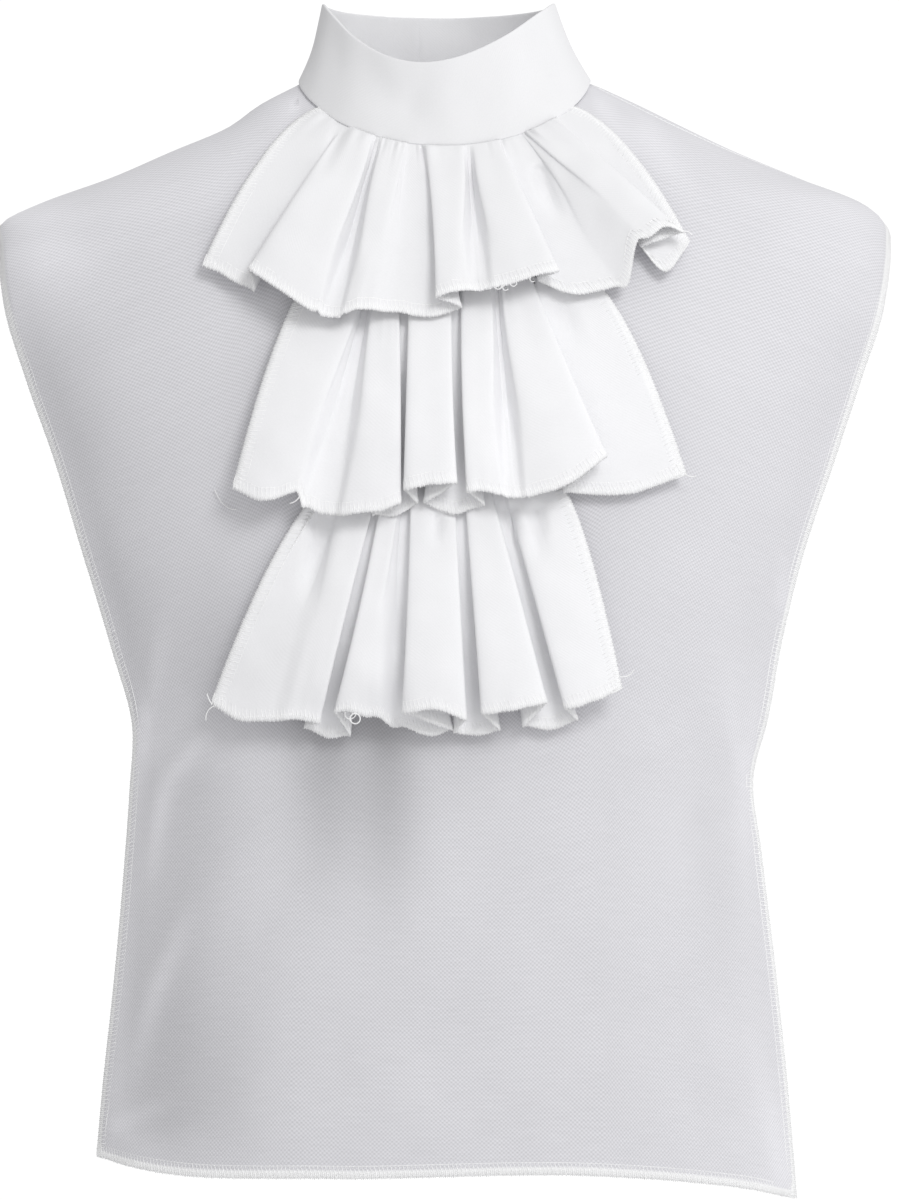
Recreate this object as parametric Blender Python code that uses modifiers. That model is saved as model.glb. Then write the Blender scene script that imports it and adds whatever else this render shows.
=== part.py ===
"""A jabot shirt front, worn: a thin front panel with a stand collar and three gathered ruffles.

It is a costume dickey. One front panel hangs from the shoulders to below the waist, two short
back yokes meet it along the shoulder seams and lap at the centre back, a stand collar closes round
the neck, and three ruffles are sewn one under the other down the centre front.

X runs to the right as seen from in front, the front faces -Y and Z is up. The origin is in the
middle of the neck opening, level with the side neck points, where the garment hangs on its wearer.
The sizes and tables below are in millimetres, and each mesh is scaled to metres as it is made.
"""

import math
from typing import NamedTuple

import bmesh
import bpy
import numpy as np
from mathutils import Vector

MM = 0.001

# Cloth walls and the gaps between pieces
CLOTH = 1.0
COLLAR_CLOTH = 1.8
SEAM_GAP = 0.4
COLLAR_LIFT = 0.7
PANEL_COLOUR = (0.72, 0.71, 0.75)
RUFFLE_COLOUR = (0.9, 0.9, 0.92)

# Neck seam, which is lowest at the centre front
NECK_HALF_WIDTH = 75.5
NECK_FRONT_DROP = 38.0
NECK_DROP_POWER = 0.75
NECK_STEPS = 16

# Top edge of the collar
COLLAR_TOP_HALF_WIDTH = 60.0
COLLAR_TOP_CENTRE = -3.5
COLLAR_TOP_FRONT = 54.0
COLLAR_TOP_BACK = 50.0
COLLAR_SIDE_HEIGHT = 41.0
COLLAR_FRONT_DIP = 37.5
COLLAR_DIP_POWER = 1.85
COLLAR_ROWS = 5

# Laps at the centre back, in steps of the neck seam
LAP_STEPS = 1
YOKE_LAP_LIFT = 1.5
COLLAR_LAP_LIFT = 2.3

# Shoulders, sides and the lower edge of the yokes
TIP_HEIGHT = -74.0
SHOULDER_STEPS = 7
RIGHT_SEAM_FORWARD = 19.0
RIGHT_SEAM_POWER = 0.7
BISECTION_STEPS = 40
SIDE_INSET = 0.015
SIDE_INSET_REACH = 30.0
YOKE_HEM = -176.0
YOKE_ROWS = 9
YOKE_SHOULDER_SHARE = 0.4
YOKE_SHOULDER_REACH = 40.0
YOKE_NECK_REACH = 24.0
YOKE_EDGE_SHARE = 0.8

# Front panel
PANEL_ROWS = 24
PANEL_ROW_POWER = 1.45
SECTION_ROUNDNESS = 2.3
EVEN_COLUMNS_FALL = 0.4
EVEN_COLUMNS_SHARE = 0.7
CREASES_FULL_FALL = 0.083

# Ruffles
RUFFLE_ROWS = 7
RUFFLE_ROW_POWER = 1.15
FOLD_STEPS = [1, 2, 2, 1, 2]
BACK_STAND_AT_SEAM = 1.0
FRONT_STAND_AT_SEAM = 2.6
FRONT_FOLD_STAND = 14.5
STAND_POWER = 0.85
FREE_EDGE_POWER = 0.65
TURN_SHARE = 0.3
TURN_LEAST = 0.15
TURN_DEPTH = 4.0
TURN_SLANT = 0.3
FRONT_CROWN = 0.06
BACK_CROWN = 0.03
MOST_SLANT = 2.0


class Level(NamedTuple):
    """The figure at one height: its left and right outline, and its depth before and behind."""

    height: float
    left: float
    right: float
    front: float
    back: float


FIGURE = [
    Level(-600.0, -188.0, 188.0, 82.0, 100.0),
    Level(-530.0, -182.0, 182.0, 83.5, 98.0),
    Level(-470.0, -175.5, 175.5, 85.0, 94.0),
    Level(-410.0, -170.0, 168.0, 87.5, 90.0),
    Level(-370.0, -167.0, 163.5, 90.0, 91.0),
    Level(-340.0, -165.5, 171.0, 92.5, 93.0),
    Level(-300.0, -176.5, 178.0, 96.0, 97.0),
    Level(-250.0, -192.0, 190.0, 99.5, 101.0),
    Level(-200.0, -207.5, 207.0, 100.0, 103.0),
    Level(-160.0, -222.0, 220.5, 97.0, 102.0),
    Level(-120.0, -234.0, 233.5, 91.0, 99.0),
    Level(-90.0, -236.5, 236.5, 84.0, 95.0),
    Level(-74.0, -233.0, 232.0, 80.0, 92.0),
    Level(-65.0, -214.0, 221.0, 77.0, 90.0),
    Level(-52.0, -178.0, 188.0, 70.5, 86.0),
    Level(-38.0, -146.0, 154.0, 62.0, 80.0),
    Level(-25.0, -116.0, 127.0, 50.0, 74.0),
    Level(-12.0, -98.0, 101.0, 36.5, 66.0),
    Level(0.0, -75.5, 75.5, 20.0, 56.0),
]


class HemPoint(NamedTuple):
    """The height of the panel's hem, so far across."""

    across: float
    height: float


PANEL_HEM = [
    HemPoint(-185.0, -565.0),
    HemPoint(-157.0, -569.3),
    HemPoint(-60.0, -570.0),
    HemPoint(85.0, -569.5),
    HemPoint(128.0, -574.0),
    HemPoint(158.0, -579.5),
    HemPoint(187.0, -588.5),
]


class Crease(NamedTuple):
    """A soft ridge on the panel, seen from in front: it is highest at its start and fades out."""

    start_x: float
    start_z: float
    end_x: float
    end_z: float
    width: float
    rise: float


CREASES = [
    Crease(-158.0, -345.0, -128.0, -262.0, 14.0, 4.0),
    Crease(-156.0, -352.0, -96.0, -318.0, 13.0, 3.0),
    Crease(156.0, -364.0, 146.0, -272.0, 13.0, 4.0),
    Crease(152.0, -370.0, 104.0, -330.0, 13.0, 2.5),
    Crease(-178.0, -560.0, -150.0, -452.0, 16.0, 4.0),
    Crease(176.0, -578.0, 150.0, -470.0, 18.0, 3.5),
    Crease(-88.0, -14.0, -132.0, -84.0, 12.0, 3.0),
]


class Fold(NamedTuple):
    """One fold of a ruffle, from left to right.

    Its two edges are given at the seam and at the hem, then how far it stands off the panel at
    the hem, and how low its hem hangs at the left edge, the middle and the right edge.
    """

    seam_left: float
    seam_right: float
    hem_left: float
    hem_right: float
    stand: float
    low_left: float
    low_middle: float
    low_right: float


class Ruffle(NamedTuple):
    """A gathered strip, sewn on along its top: in the neck seam where the seam height is None."""

    name: str
    seam_height: float | None
    folds: list


RUFFLES = [
    Ruffle(
        "ruffle_top",
        None,
        [
            Fold(-65.5, -53.5, -123.5, -92.0, 9.0, -104.0, -111.0, -119.0),
            Fold(-51.5, -37.0, -99.0, -60.5, 20.0, -107.0, -119.0, -129.0),
            Fold(-35.2, -33.4, -60.0, -55.5, 14.0, -132.0, -132.5, -132.0),
            Fold(-31.6, -20.5, -54.5, -36.0, 19.0, -130.0, -128.5, -128.5),
            Fold(-18.8, -11.5, -34.0, 5.5, 13.0, -129.0, -131.0, -131.5),
            Fold(-9.6, 9.2, -4.0, 15.0, 22.0, -122.5, -120.0, -118.5),
            Fold(11.2, 12.8, 16.5, 19.5, 18.0, -118.5, -118.5, -118.0),
            Fold(14.8, 27.0, 21.0, 57.0, 21.5, -117.5, -112.5, -108.5),
            Fold(28.8, 39.5, 25.0, 93.5, 10.0, -119.0, -119.5, -105.0),
            Fold(41.5, 56.5, 95.5, 120.5, 20.0, -93.0, -90.0, -87.5),
            Fold(58.3, 66.0, 102.0, 123.5, 9.0, -107.0, -103.0, -93.5),
        ],
    ),
    Ruffle(
        "ruffle_middle",
        -118.5,
        [
            Fold(-66.0, -39.5, -107.0, -72.5, 17.0, -218.0, -224.5, -221.0),
            Fold(-37.6, -35.8, -71.0, -45.0, 9.5, -227.5, -231.5, -230.5),
            Fold(-34.0, -24.0, -43.5, -22.5, 18.0, -229.5, -228.0, -226.0),
            Fold(-22.0, -19.6, -26.0, -15.5, 9.0, -227.5, -228.5, -226.0),
            Fold(-17.6, 3.0, -20.0, 5.5, 21.0, -219.5, -216.5, -216.0),
            Fold(5.0, 6.8, -9.0, 16.5, 9.5, -226.0, -230.5, -229.0),
            Fold(8.6, 22.6, 11.5, 32.0, 20.0, -220.0, -220.0, -222.0),
            Fold(24.6, 26.6, 33.5, 36.0, 16.0, -222.5, -223.0, -223.0),
            Fold(28.6, 43.0, 37.5, 81.0, 20.0, -222.5, -217.0, -203.5),
            Fold(45.0, 72.0, 58.5, 122.5, 9.5, -218.0, -220.5, -211.0),
        ],
    ),
    Ruffle(
        "ruffle_bottom",
        -221.0,
        [
            Fold(-63.5, -57.5, -119.0, -84.0, 13.5, -327.0, -335.0, -336.0),
            Fold(-55.6, -37.0, -81.0, -64.0, 18.0, -335.0, -335.5, -337.0),
            Fold(-35.0, -32.0, -71.0, -47.5, 8.0, -339.0, -342.5, -344.0),
            Fold(-30.0, -22.2, -55.5, -34.0, 19.0, -331.5, -331.0, -333.5),
            Fold(-20.4, -18.6, -30.0, 3.5, 9.0, -339.0, -342.0, -337.0),
            Fold(-16.8, 4.2, -21.0, 10.5, 20.0, -331.5, -329.5, -335.0),
            Fold(6.0, 8.0, 5.0, 27.0, 8.5, -338.5, -342.0, -336.5),
            Fold(9.8, 21.4, 19.0, 51.0, 20.0, -332.0, -329.5, -326.5),
            Fold(23.2, 27.2, 38.0, 67.5, 8.0, -334.0, -339.0, -332.0),
            Fold(29.2, 56.5, 61.0, 89.5, 18.0, -329.5, -325.5, -319.5),
        ],
    ),
]


def clear_scene():
    for obj in list(bpy.data.objects):
        bpy.data.objects.remove(obj, do_unlink=True)


def mix(start, end, share):
    return start + (end - start) * share


def ease(share):
    """0 up to 1 with level ends."""
    share = min(max(share, 0.0), 1.0)
    return share * share * (3.0 - 2.0 * share)


def smooth_curve(keys, values):
    """A smooth curve through the values at rising keys, level beyond its ends."""
    slopes = np.gradient(np.array(values), np.array(keys))

    def value_at(key):
        key = min(max(key, keys[0]), keys[-1])
        place = min(int(np.searchsorted(keys, key, side="right")), len(keys) - 1) - 1
        span = keys[place + 1] - keys[place]
        share = (key - keys[place]) / span
        blend = ease(share)
        straight = mix(values[place], values[place + 1], blend)
        leaving = slopes[place] * share * (1.0 - share) ** 2
        arriving = slopes[place + 1] * share**2 * (1.0 - share)
        return straight + span * (leaving - arriving)

    return value_at


HEIGHTS = [level.height for level in FIGURE]
left_at = smooth_curve(HEIGHTS, [level.left for level in FIGURE])
right_at = smooth_curve(HEIGHTS, [level.right for level in FIGURE])
front_depth_at = smooth_curve(HEIGHTS, [level.front for level in FIGURE])
back_depth_at = smooth_curve(HEIGHTS, [level.back for level in FIGURE])
hem_at = smooth_curve([point.across for point in PANEL_HEM], [point.height for point in PANEL_HEM])


def fullness(x, height):
    """How much of the figure's depth is left at x: 1 in the middle, 0 at the outline."""
    left = left_at(height)
    right = right_at(height)
    share = abs(2.0 * x - left - right) / (right - left)
    return (1.0 - min(share, 1.0) ** SECTION_ROUNDNESS) ** (1.0 / SECTION_ROUNDNESS)


def crease_rise(x, height):
    """How far the soft creases lift the panel."""
    total = 0.0
    for crease in CREASES:
        run = np.array([crease.end_x - crease.start_x, crease.end_z - crease.start_z])
        offset = np.array([x - crease.start_x, height - crease.start_z])
        share = min(max(float(offset @ run / (run @ run)), 0.0), 1.0)
        distance = float(np.linalg.norm(offset - run * share))
        fade = 1.0 - ease(share)
        total += crease.rise * fade * math.exp(-((distance / crease.width) ** 2))
    return total


def front_y(x, height):
    return -front_depth_at(height) * fullness(x, height)


def back_y(x, height):
    return back_depth_at(height) * fullness(x, height)


def height_on_shoulder(x, y):
    """The height of the figure's surface at x and y, above the shoulder tips."""
    high = 0.0
    low = TIP_HEIGHT - SIDE_INSET_REACH
    side = back_y if y > 0.0 else front_y
    for _ in range(BISECTION_STEPS):
        middle = (high + low) / 2.0
        if abs(side(x, middle)) < abs(y):
            high = middle
        else:
            low = middle
    return low


def neck_front_height(x):
    share = min(abs(x) / NECK_HALF_WIDTH, 1.0)
    return -NECK_FRONT_DROP * (1.0 - share * share) ** NECK_DROP_POWER


def side_edge(outline, height):
    """The free edge of the cloth, just inside the figure's outline below the shoulder tips."""
    inset = SIDE_INSET * ease((TIP_HEIGHT - height) / SIDE_INSET_REACH)
    return outline(height) * (1.0 - inset)


def shoulder_seam_y(x):
    """The shoulder seam: on the ridge at the left, and forward of it at the right."""
    if x <= NECK_HALF_WIDTH:
        return 0.0
    share = (x - NECK_HALF_WIDTH) / (right_at(TIP_HEIGHT) - NECK_HALF_WIDTH)
    return -RIGHT_SEAM_FORWARD * math.sin(math.pi * share**RIGHT_SEAM_POWER)


def neck_x(step):
    """Points along half of the neck seam, which both panels and the collar share."""
    return -NECK_HALF_WIDTH * math.cos(math.pi * step / NECK_STEPS)


def sheet_object(name, columns, rows, place, thickness, colour, offset=-1.0):
    """A cloth wall over a grid whose points place(column, row) gives in millimetres."""
    grid = bmesh.new()
    bmesh.ops.create_grid(grid, x_segments=columns, y_segments=rows, size=1.0)
    for vertex in grid.verts:
        column = round((vertex.co.x + 1.0) / 2.0 * columns)
        row = round((1.0 - vertex.co.y) / 2.0 * rows)
        vertex.co = Vector(place(column, row)) * MM
    mesh = bpy.data.meshes.new(name)
    grid.to_mesh(mesh)
    grid.free()
    mesh.shade_smooth()
    obj = bpy.data.objects.new(name, mesh)
    wall = obj.modifiers.new("wall", "SOLIDIFY")
    wall.thickness = thickness * MM
    wall.offset = offset
    mesh.materials.append(cloth_material(name, colour))
    return obj


def cloth_material(name, colour):
    material = bpy.data.materials.new(name)
    material.use_nodes = True
    shader = material.node_tree.nodes["Principled BSDF"]
    shader.inputs["Base Color"].default_value = (*colour, 1.0)
    shader.inputs["Roughness"].default_value = 0.9
    shader.inputs["Metallic"].default_value = 0.0
    return material


def panel_top_xs():
    """Where the panel's columns cross its top edge: shoulder, neck, shoulder."""
    tip_left = left_at(TIP_HEIGHT)
    tip_right = right_at(TIP_HEIGHT)
    xs = [mix(tip_left, -NECK_HALF_WIDTH, step / SHOULDER_STEPS) for step in range(SHOULDER_STEPS)]
    xs += [neck_x(step) for step in range(NECK_STEPS)]
    xs += [mix(NECK_HALF_WIDTH, tip_right, step / SHOULDER_STEPS) for step in range(SHOULDER_STEPS + 1)]
    return xs


def front_panel():
    """The front, from the shoulder seams and the neck down to the hem, in one piece."""
    top_xs = panel_top_xs()
    columns = len(top_xs) - 1
    tip_left = top_xs[0]
    tip_right = top_xs[-1]
    hem_left = side_edge(left_at, PANEL_HEM[0].height)
    hem_right = side_edge(right_at, PANEL_HEM[-1].height)

    def top_height(x):
        if abs(x) < NECK_HALF_WIDTH:
            return neck_front_height(x)
        return height_on_shoulder(x, shoulder_seam_y(x) - SEAM_GAP)

    def place(column, row):
        fall = (row / PANEL_ROWS) ** PANEL_ROW_POWER
        left = side_edge(left_at, mix(TIP_HEIGHT, hem_at(hem_left), fall))
        right = side_edge(right_at, mix(TIP_HEIGHT, hem_at(hem_right), fall))
        share = (top_xs[column] - tip_left) / (tip_right - tip_left)
        share = mix(share, column / columns, ease(fall / EVEN_COLUMNS_FALL) * EVEN_COLUMNS_SHARE)
        x = mix(left, right, share)
        height = mix(top_height(top_xs[column]), hem_at(x), fall)
        y = min(front_y(x, height), -SEAM_GAP)
        return x, y - crease_rise(x, height) * ease(fall / CREASES_FULL_FALL), height

    return sheet_object("front_panel", columns, PANEL_ROWS, place, CLOTH, PANEL_COLOUR)


def back_neck_y(x):
    return back_depth_at(0.0) * fullness(x, 0.0)


def back_yoke(name, side, lap_lift):
    """Half of the short back, from the lap at the centre back out to the armhole.

    side is -1 for the left half and 1 for the right one, and lap_lift is how far the lap stands
    off the half under it.
    """
    middle = NECK_STEPS // 2
    steps = range(middle - LAP_STEPS, NECK_STEPS)
    top_xs = [side * neck_x(step) for step in steps]
    tip = (left_at if side < 0 else right_at)(TIP_HEIGHT)
    top_xs += [
        mix(side * NECK_HALF_WIDTH, tip, step / SHOULDER_STEPS) for step in range(SHOULDER_STEPS + 1)
    ]
    columns = len(top_xs) - 1
    outline = left_at if side < 0 else right_at

    def place(column, row):
        top_x = top_xs[column]
        fall = row / YOKE_ROWS
        edge = side_edge(outline, mix(TIP_HEIGHT, YOKE_HEM, fall))
        x = top_x * mix(1.0, edge / tip, abs(top_x / tip))
        if abs(top_x) < NECK_HALF_WIDTH:
            top_y = back_neck_y(top_x)
            reach = mix(YOKE_SHOULDER_REACH, YOKE_NECK_REACH, top_y / back_depth_at(0.0))
        else:
            top_y = shoulder_seam_y(top_x) + SEAM_GAP
            edge_y = back_y(x, TIP_HEIGHT - SIDE_INSET_REACH)
            reach = min(YOKE_SHOULDER_REACH, YOKE_EDGE_SHARE * edge_y) - top_y
        if fall <= YOKE_SHOULDER_SHARE:
            y = top_y + reach * fall / YOKE_SHOULDER_SHARE
            height = height_on_shoulder(x, y)
        else:
            start = height_on_shoulder(x, top_y + reach)
            height = mix(start, YOKE_HEM, (fall - YOKE_SHOULDER_SHARE) / (1.0 - YOKE_SHOULDER_SHARE))
            y = back_y(x, height)
        lapped = ease(1.0 - (column - 2 * LAP_STEPS) / LAP_STEPS)
        return x, y + lap_lift * lapped, height

    return sheet_object(name, columns, YOKE_ROWS, place, CLOTH, PANEL_COLOUR, offset=side)


def collar():
    """The stand collar, a folded band right round the neck that laps at the centre back."""
    around = 2 * NECK_STEPS
    columns = around + 2 * LAP_STEPS

    def place(column, row):
        step = column - LAP_STEPS
        angle = 2.0 * math.pi * step / around
        x = NECK_HALF_WIDTH * math.sin(angle)
        forward = -math.cos(angle)
        if forward > 0.0:
            base_height = neck_front_height(x)
            base_y = front_y(x, base_height)
            top_y = -COLLAR_TOP_FRONT * forward
            dip = COLLAR_FRONT_DIP * forward**COLLAR_DIP_POWER
        else:
            base_height = 0.0
            base_y = back_neck_y(x)
            top_y = -COLLAR_TOP_BACK * forward
            dip = 0.0
        rise = row / COLLAR_ROWS
        top_x = COLLAR_TOP_CENTRE + COLLAR_TOP_HALF_WIDTH * math.sin(angle)
        lifted = ease((step - around + 2 * LAP_STEPS) / LAP_STEPS)
        return (
            mix(x, top_x, rise),
            mix(base_y, top_y, rise) + COLLAR_LAP_LIFT * lifted,
            mix(base_height + COLLAR_LIFT, COLLAR_SIDE_HEIGHT - dip, rise),
        )

    return sheet_object("collar", columns, COLLAR_ROWS, place, COLLAR_CLOTH, RUFFLE_COLOUR)


def turn(depth_away):
    """How far a fold's edge rolls towards the next fold, which lies so much nearer or deeper."""
    size = min(max(abs(depth_away) * TURN_SHARE, TURN_LEAST), TURN_DEPTH)
    return math.copysign(size, depth_away)


def fold_cage(ruffle, fall):
    """The points (across, height, stand) that the ruffle passes through, so far down."""
    folds = ruffle.folds
    last = len(folds) - 1
    edges = []
    stands = []
    for number, fold in enumerate(folds):
        left_power = 1.0 if number > 0 else FREE_EDGE_POWER
        right_power = 1.0 if number < last else FREE_EDGE_POWER
        left = mix(fold.seam_left, fold.hem_left, fall**left_power)
        right = mix(fold.seam_right, fold.hem_right, fall**right_power)
        edges.append((left, right))
        front = fold.stand > FRONT_FOLD_STAND
        at_seam = FRONT_STAND_AT_SEAM if front else BACK_STAND_AT_SEAM
        stands.append(mix(at_seam, fold.stand, fall**STAND_POWER))
    points = []
    for number, fold in enumerate(folds):
        left, right = edges[number]
        stand = stands[number]
        full = stand / fold.stand * (right - left)
        front = fold.stand > FRONT_FOLD_STAND
        crown = stand + (FRONT_CROWN if front else -BACK_CROWN) * full
        if number > 0:
            rolled = mix(left, edges[number - 1][1], TURN_SLANT * (1.0 - fall))
            before = stands[number - 1] - stand
            points.append((rolled, fold.seam_left, fold.low_left, stand + turn(before)))
        points.append((left, fold.seam_left, fold.low_left, stand))
        middle = (fold.seam_left + fold.seam_right) / 2.0
        points.append(((left + right) / 2.0, middle, fold.low_middle, crown))
        points.append((right, fold.seam_right, fold.low_right, stand))
        if number < last:
            rolled = mix(right, edges[number + 1][0], TURN_SLANT * (1.0 - fall))
            after = stands[number + 1] - stand
            points.append((rolled, fold.seam_right, fold.low_right, stand + turn(after)))
    cage = []
    for across, seam_across, low, stand in points:
        if ruffle.seam_height is None:
            seam = neck_front_height(seam_across) - SEAM_GAP
        else:
            seam = ruffle.seam_height
        cage.append(np.array([across, mix(seam, low, fall), stand]))
    return cage


def round_curve(cage, steps):
    """A round curve through the cage's points, with steps[n] spans between points n and n + 1."""
    ends = [2.0 * cage[0] - cage[1], *cage, 2.0 * cage[-1] - cage[-2]]
    found = []
    for number, count in enumerate(steps):
        p0, p1, p2, p3 = ends[number : number + 4]
        t1 = np.linalg.norm(p1 - p0) ** 0.5
        t2 = t1 + np.linalg.norm(p2 - p1) ** 0.5
        t3 = t2 + np.linalg.norm(p3 - p2) ** 0.5
        for step in range(count):
            t = mix(t1, t2, step / count)
            a1 = mix(p0, p1, t / t1)
            a2 = mix(p1, p2, (t - t1) / (t2 - t1))
            a3 = mix(p2, p3, (t - t2) / (t3 - t2))
            b1 = mix(a1, a2, t / t2)
            b2 = mix(a2, a3, (t - t1) / (t3 - t1))
            found.append(mix(b1, b2, (t - t1) / (t2 - t1)))
    found.append(cage[-1])
    return found


def slant(x, height):
    """How much further a step straight forwards is than one square to the panel."""
    span = 1.0
    across = (front_y(x + span, height) - front_y(x - span, height)) / (2.0 * span)
    down = (front_y(x, height + span) - front_y(x, height - span)) / (2.0 * span)
    return min(math.sqrt(1.0 + across * across + down * down), MOST_SLANT)


def ruffle_object(ruffle):
    """A gathered ruffle, whose folds are small at the seam and stand out wide at the hem."""
    steps = (FOLD_STEPS * len(ruffle.folds))[1:-2]
    falls = [(row / RUFFLE_ROWS) ** RUFFLE_ROW_POWER for row in range(RUFFLE_ROWS + 1)]
    lines = [round_curve(fold_cage(ruffle, fall), steps) for fall in falls]

    def place(column, row):
        x, height, stand = lines[row][column]
        y = front_y(x, height) - crease_rise(x, height)
        return x, y - stand * slant(x, height), height

    columns = len(lines[0]) - 1
    return sheet_object(ruffle.name, columns, RUFFLE_ROWS, place, CLOTH, RUFFLE_COLOUR, offset=0.0)


def main():
    clear_scene()
    garment = bpy.data.collections.new("jabot_shirt_front")
    bpy.context.scene.collection.children.link(garment)
    garment.objects.link(front_panel())
    garment.objects.link(back_yoke("back_yoke_left", -1, YOKE_LAP_LIFT))
    garment.objects.link(back_yoke("back_yoke_right", 1, 0.0))
    garment.objects.link(collar())
    for ruffle in RUFFLES:
        garment.objects.link(ruffle_object(ruffle))


main()
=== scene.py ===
"""A jabot shirt front in thin cloth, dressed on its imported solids.

Each cloth is laid on the same figure as its solid: a thin front panel, two short back yokes, a
stand collar and three gathered ruffles. The free edges are overlocked, and a few loose thread
ends hang from them. Tables and form sizes are in millimetres where nothing else is said, and the
sizes and colours that a user would change are properties of the scene.
"""

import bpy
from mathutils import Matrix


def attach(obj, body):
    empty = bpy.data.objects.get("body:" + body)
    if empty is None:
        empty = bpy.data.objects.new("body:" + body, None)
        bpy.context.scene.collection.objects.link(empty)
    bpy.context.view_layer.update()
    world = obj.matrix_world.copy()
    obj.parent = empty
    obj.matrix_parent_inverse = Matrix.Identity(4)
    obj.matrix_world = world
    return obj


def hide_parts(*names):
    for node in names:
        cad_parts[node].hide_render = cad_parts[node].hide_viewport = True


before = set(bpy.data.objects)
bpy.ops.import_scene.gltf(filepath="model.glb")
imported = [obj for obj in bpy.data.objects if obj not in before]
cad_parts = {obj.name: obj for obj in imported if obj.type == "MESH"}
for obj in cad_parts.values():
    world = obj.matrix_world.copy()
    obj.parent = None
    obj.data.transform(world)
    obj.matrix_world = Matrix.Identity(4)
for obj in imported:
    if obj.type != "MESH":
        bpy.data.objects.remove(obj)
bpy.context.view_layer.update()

import math
from typing import NamedTuple

import bmesh
import bpy
import numpy as np
from bpy.props import FloatProperty, FloatVectorProperty, PointerProperty
from mathutils import Vector, noise

bl_info = {
    "name": "Jabot shirt front",
    "version": (1, 0, 0),
    "blender": (4, 5, 0),
    "location": "3D View > Sidebar > Jabot",
    "description": "Lays the cloth of a jabot shirt front over its solids",
    "category": "Object",
}

MM = 0.001

# The edges of a panel, yoke or ruffle that are sewn to nothing, and so are overlocked
FREE_EDGES = ("left", "right", "hem")

# Neck seam, level at the back and lowest at the centre front
SIDE_NECK_HEIGHT = 0.0
NECK_HALF_WIDTH = 75.5
NECK_FRONT_DROP = 41.0
NECK_DROP_POWER = 0.6
NECK_STEPS = 60

# Collar
COLLAR_TOP_HALF_WIDTH = 60.0
COLLAR_TOP_CENTRE = -3.5
COLLAR_TOP_FRONT = 54.0
COLLAR_TOP_BACK = 50.0
COLLAR_SIDE_HEIGHT = 41.0
COLLAR_FRONT_DIP = 37.5
COLLAR_DIP_POWER = 1.85
COLLAR_DIP_SKEW = 0.12
COLLAR_WAIST = 1.6
COLLAR_ROWS = 22
COLLAR_LAP_SHARE = 0.0625
COLLAR_LAP_LIFT = 2.3
COLLAR_PROUD = 0.5
COLLAR_OVERHANG = 0.4
COLLAR_SOFTNESS = 0.9
COLLAR_WAVER_SIZE = 19.0
COLLAR_WAVER_HEIGHT = 30.0
COLLAR_WAVER_DEPTH = 60.0
COLLAR_ROUNDING = 0.6
COLLAR_ROUNDING_SEGMENTS = 3
COLLAR_ROUNDING_ANGLE = 60.0

# Dents follow an arch up the collar, from this share of it at the foot to this one at the top
DENT_ARCH_FOOT = 0.2
DENT_ARCH_TOP = 0.9

# Shoulders, sides and back
TIP_HEIGHT = -74.0
SHOULDER_STEPS = 30
RIGHT_SEAM_FORWARD = 19.0
RIGHT_SEAM_POWER = 0.7
BISECTION_STEPS = 40
SIDE_INSET = 0.015
SIDE_INSET_REACH = 30.0
WIDEST_HEIGHT = -84.0
YOKE_HEM = -176.0
YOKE_ROWS = 60
YOKE_SHOULDER_SHARE = 0.4
YOKE_SHOULDER_REACH = 40.0
YOKE_NECK_REACH = 24.0
YOKE_EDGE_SHARE = 0.8
YOKE_EDGE_LEAST = 8.0
YOKE_LAP = 14.7
YOKE_LAP_LIFT = 1.5
YOKE_SOFT_FULL_FALL = 0.166
YOKE_WAVER_LAYER = 90.0
YOKE_ROLL_INWARD = 0.2
SEAM_GAP = 0.05
SEAM_ROLL = 0.9
SEAM_ROLL_REACH = 0.9

# Front panel
PANEL_ROWS = 150
PANEL_ROW_POWER = 1.3
SECTION_ROUNDNESS = 2.3
FLAT_EDGE_SHARE = 0.93
FLAT_EDGE_SLOPE = 0.9
FLAT_EDGE_REACH = 60.0
EVEN_COLUMNS_FALL = 0.4
EVEN_COLUMNS_SHARE = 0.7
CREASES_FULL_FALL = 0.083
PANEL_WAVER_SIZE = 38.0
PANEL_ROLL_INWARD = 0.5

# Spans of mesh over one fold: its left turn, its two halves, its right turn and the wall beyond
FOLD_STEPS = [3, 6, 6, 3, 6]

# Ruffles
RUFFLE_ROWS = 60
RUFFLE_ROW_POWER = 1.15
BACK_STAND_AT_SEAM = 1.0
FRONT_STAND_AT_SEAM = 2.6
FRONT_FOLD_STAND = 14.5
STAND_POWER = 0.85
FREE_EDGE_POWER = 0.65
STAND_LEAST = 0.4
TURN_SHARE = 0.3
TURN_LEAST = 0.15
TURN_DEPTH = 4.0
TURN_SLANT = 0.3
FRONT_CROWN = 0.06
BACK_CROWN = 0.03
MOST_SLANT = 2.0
OPEN_FALL = 0.15
OPEN_FULL_FALL = 0.85
OPEN_REACH = 5.5
BACK_OPEN_REACH = 10.0
OPEN_WIDTH_SHARE = 0.3
OPEN_RISE = 0.55
OPEN_SLANT = 0.3
EDGE_BOW = 2.4
EDGE_BOW_SIZE = 9.0
VALLEY_DIP = 8.0
VALLEY_LEAST = 0.25

# Puckers beside the ruffles' seams, uneven in their pitch, their rise and their reach
PUCKER_PITCH = 4.6
PUCKER_DRIFT = 1.4
PUCKER_DRIFT_SIZE = 9.0
PUCKER_RISE = 2.2
PUCKER_RISE_MIDDLE = 0.35
PUCKER_RISE_SWING = 1.6
PUCKER_RISE_SIZE = 7.0
PUCKER_RISE_LAYER = 20.0
PUCKER_REACH = 7.0
PUCKER_REACH_SWING = 1.2
PUCKER_REACH_SIZE = 5.0
PUCKER_REACH_LAYER = 40.0
PUCKER_START_ROWS = 2.0

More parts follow.
